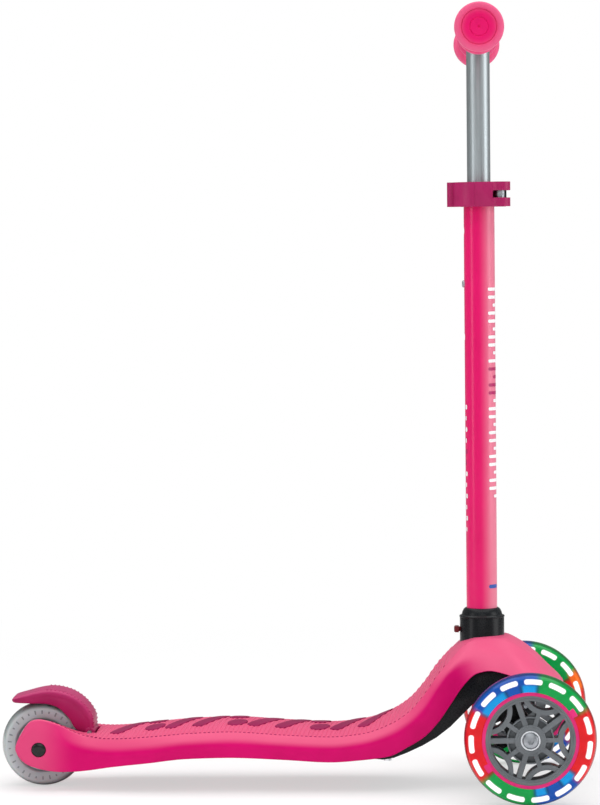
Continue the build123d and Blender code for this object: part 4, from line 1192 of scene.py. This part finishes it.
def make_stage():
    """A pale floor that fades into a white surround."""
    made = new_material("studio_floor", (0.92, 0.92, 0.93), 0.8)
    vary_colour(made, noise(made, 1.5), (0.915, 0.915, 0.92), (0.93, 0.93, 0.935))
    away = length_of(made, add_node(made, "ShaderNodeTexCoord").outputs["Object"])
    seen = add_node(made, "ShaderNodeLightPath").outputs["Is Camera Ray"]
    mixed = add_node(made, "ShaderNodeMixShader")
    fade = calculate(made, "MULTIPLY", ramp_between(made, away, 0.2, 1.4, 0.55, 1.0), seen)
    link(made, fade, mixed.inputs["Fac"])
    link(made, shader_of(made).outputs["BSDF"], mixed.inputs[1])
    link(made, add_node(made, "ShaderNodeEmission").outputs["Emission"], mixed.inputs[2])
    link(made, mixed.outputs["Shader"], made.node_tree.nodes["Material Output"].inputs["Surface"])
    points, faces = [], []
    n = len(STAGE_RADII)
    for i in range(STAGE_SEGMENTS):
        a = 2 * math.pi * i / STAGE_SEGMENTS
        j = (i + 1) % STAGE_SEGMENTS
        points += [(r * math.cos(a), r * math.sin(a), 0.0) for r in STAGE_RADII]
        faces += [(i * n + k, i * n + k + 1, j * n + k + 1, j * n + k) for k in range(n - 1)]
    stage = mesh_piece("studio_floor", points, faces)
    stage.data.materials.append(made)


def area_light(name, at, target, size, power):
    lamp = bpy.data.lights.new(name, "AREA")
    lamp.shape = "RECTANGLE"
    lamp.size, lamp.size_y = size
    lamp.energy = power
    holder = new_object(name, lamp)
    holder.location = at
    holder.rotation_euler = (Vector(target) - Vector(at)).to_track_quat("-Z", "Y").to_euler()


def make_world():
    """White where it is seen, dimmer where it lights."""
    world = bpy.data.worlds.new("studio")
    world.use_nodes = True
    background = world.node_tree.nodes["Background"]
    background.inputs["Color"].default_value = (1.0, 1.0, 1.0, 1.0)
    seen = add_node(world, "ShaderNodeLightPath").outputs["Is Camera Ray"]
    link(world, ramp_between(world, seen, 0.0, 1.0, 0.30, 1.0, "LINEAR"), background.inputs["Strength"])
    bpy.context.scene.world = world


def make_lights():
    make_world()
    area_light("overhead", (0.0, -0.1, 2.8), (0.0, 0.0, 0.0), (4.0, 4.0), 102.0)
    area_light("right_softbox", (3.1, -0.7, 1.0), (0.1, 0.0, 0.45), (1.6, 2.2), 36.0)
    area_light("left_softbox", (-2.4, -1.5, 1.0), (0.1, 0.0, 0.45), (0.8, 2.0), 16.0)
    area_light("front_fill", (0.2, -3.6, 1.7), (0.1, 0.0, 0.3), (2.4, 1.2), 16.0)


# Where the camera is, in mm; its turn from straight across the scooter, in degrees; and its lens and
# sensor, in mm.
CAMERA_AT = (147.4, -3061.6, 512.7)
CAMERA_YAW, CAMERA_PITCH, CAMERA_ROLL = -2.62, 2.79, -0.58
CAMERA_LENS, CAMERA_SENSOR = 144.97, 36.0


def make_camera():
    """The viewpoint: from the right-hand side, slightly above, with a long lens."""
    yaw, pitch, roll = (math.radians(v) for v in (CAMERA_YAW, CAMERA_PITCH, CAMERA_ROLL))
    forward = Vector((math.sin(yaw) * math.cos(pitch), math.cos(yaw) * math.cos(pitch), -math.sin(pitch)))
    right = Vector((math.cos(yaw), -math.sin(yaw), 0.0))
    up = right.cross(forward)
    turned_right = right * math.cos(roll) + up * math.sin(roll)
    turned_up = up * math.cos(roll) - right * math.sin(roll)
    lens = bpy.data.cameras.new("camera")
    lens.sensor_width = CAMERA_SENSOR
    lens.lens = CAMERA_LENS
    lens.clip_end = 100.0
    camera = new_object("camera", lens)
    basis = Matrix((turned_right, turned_up, -forward)).transposed().to_4x4()
    camera.matrix_world = Matrix.Translation(Vector(CAMERA_AT) * MM) @ basis
    bpy.context.scene.camera = camera


make_camera()
make_stage()
make_lights()
make_deck()
make_graphics()
for wheel_side in ("left", "right"):
    make_front_wheel(wheel_side)
    make_grip(wheel_side)
make_rear_wheel()
make_brake()
make_column()
make_chassis()
bpy.context.scene.view_settings.view_transform = "Standard"
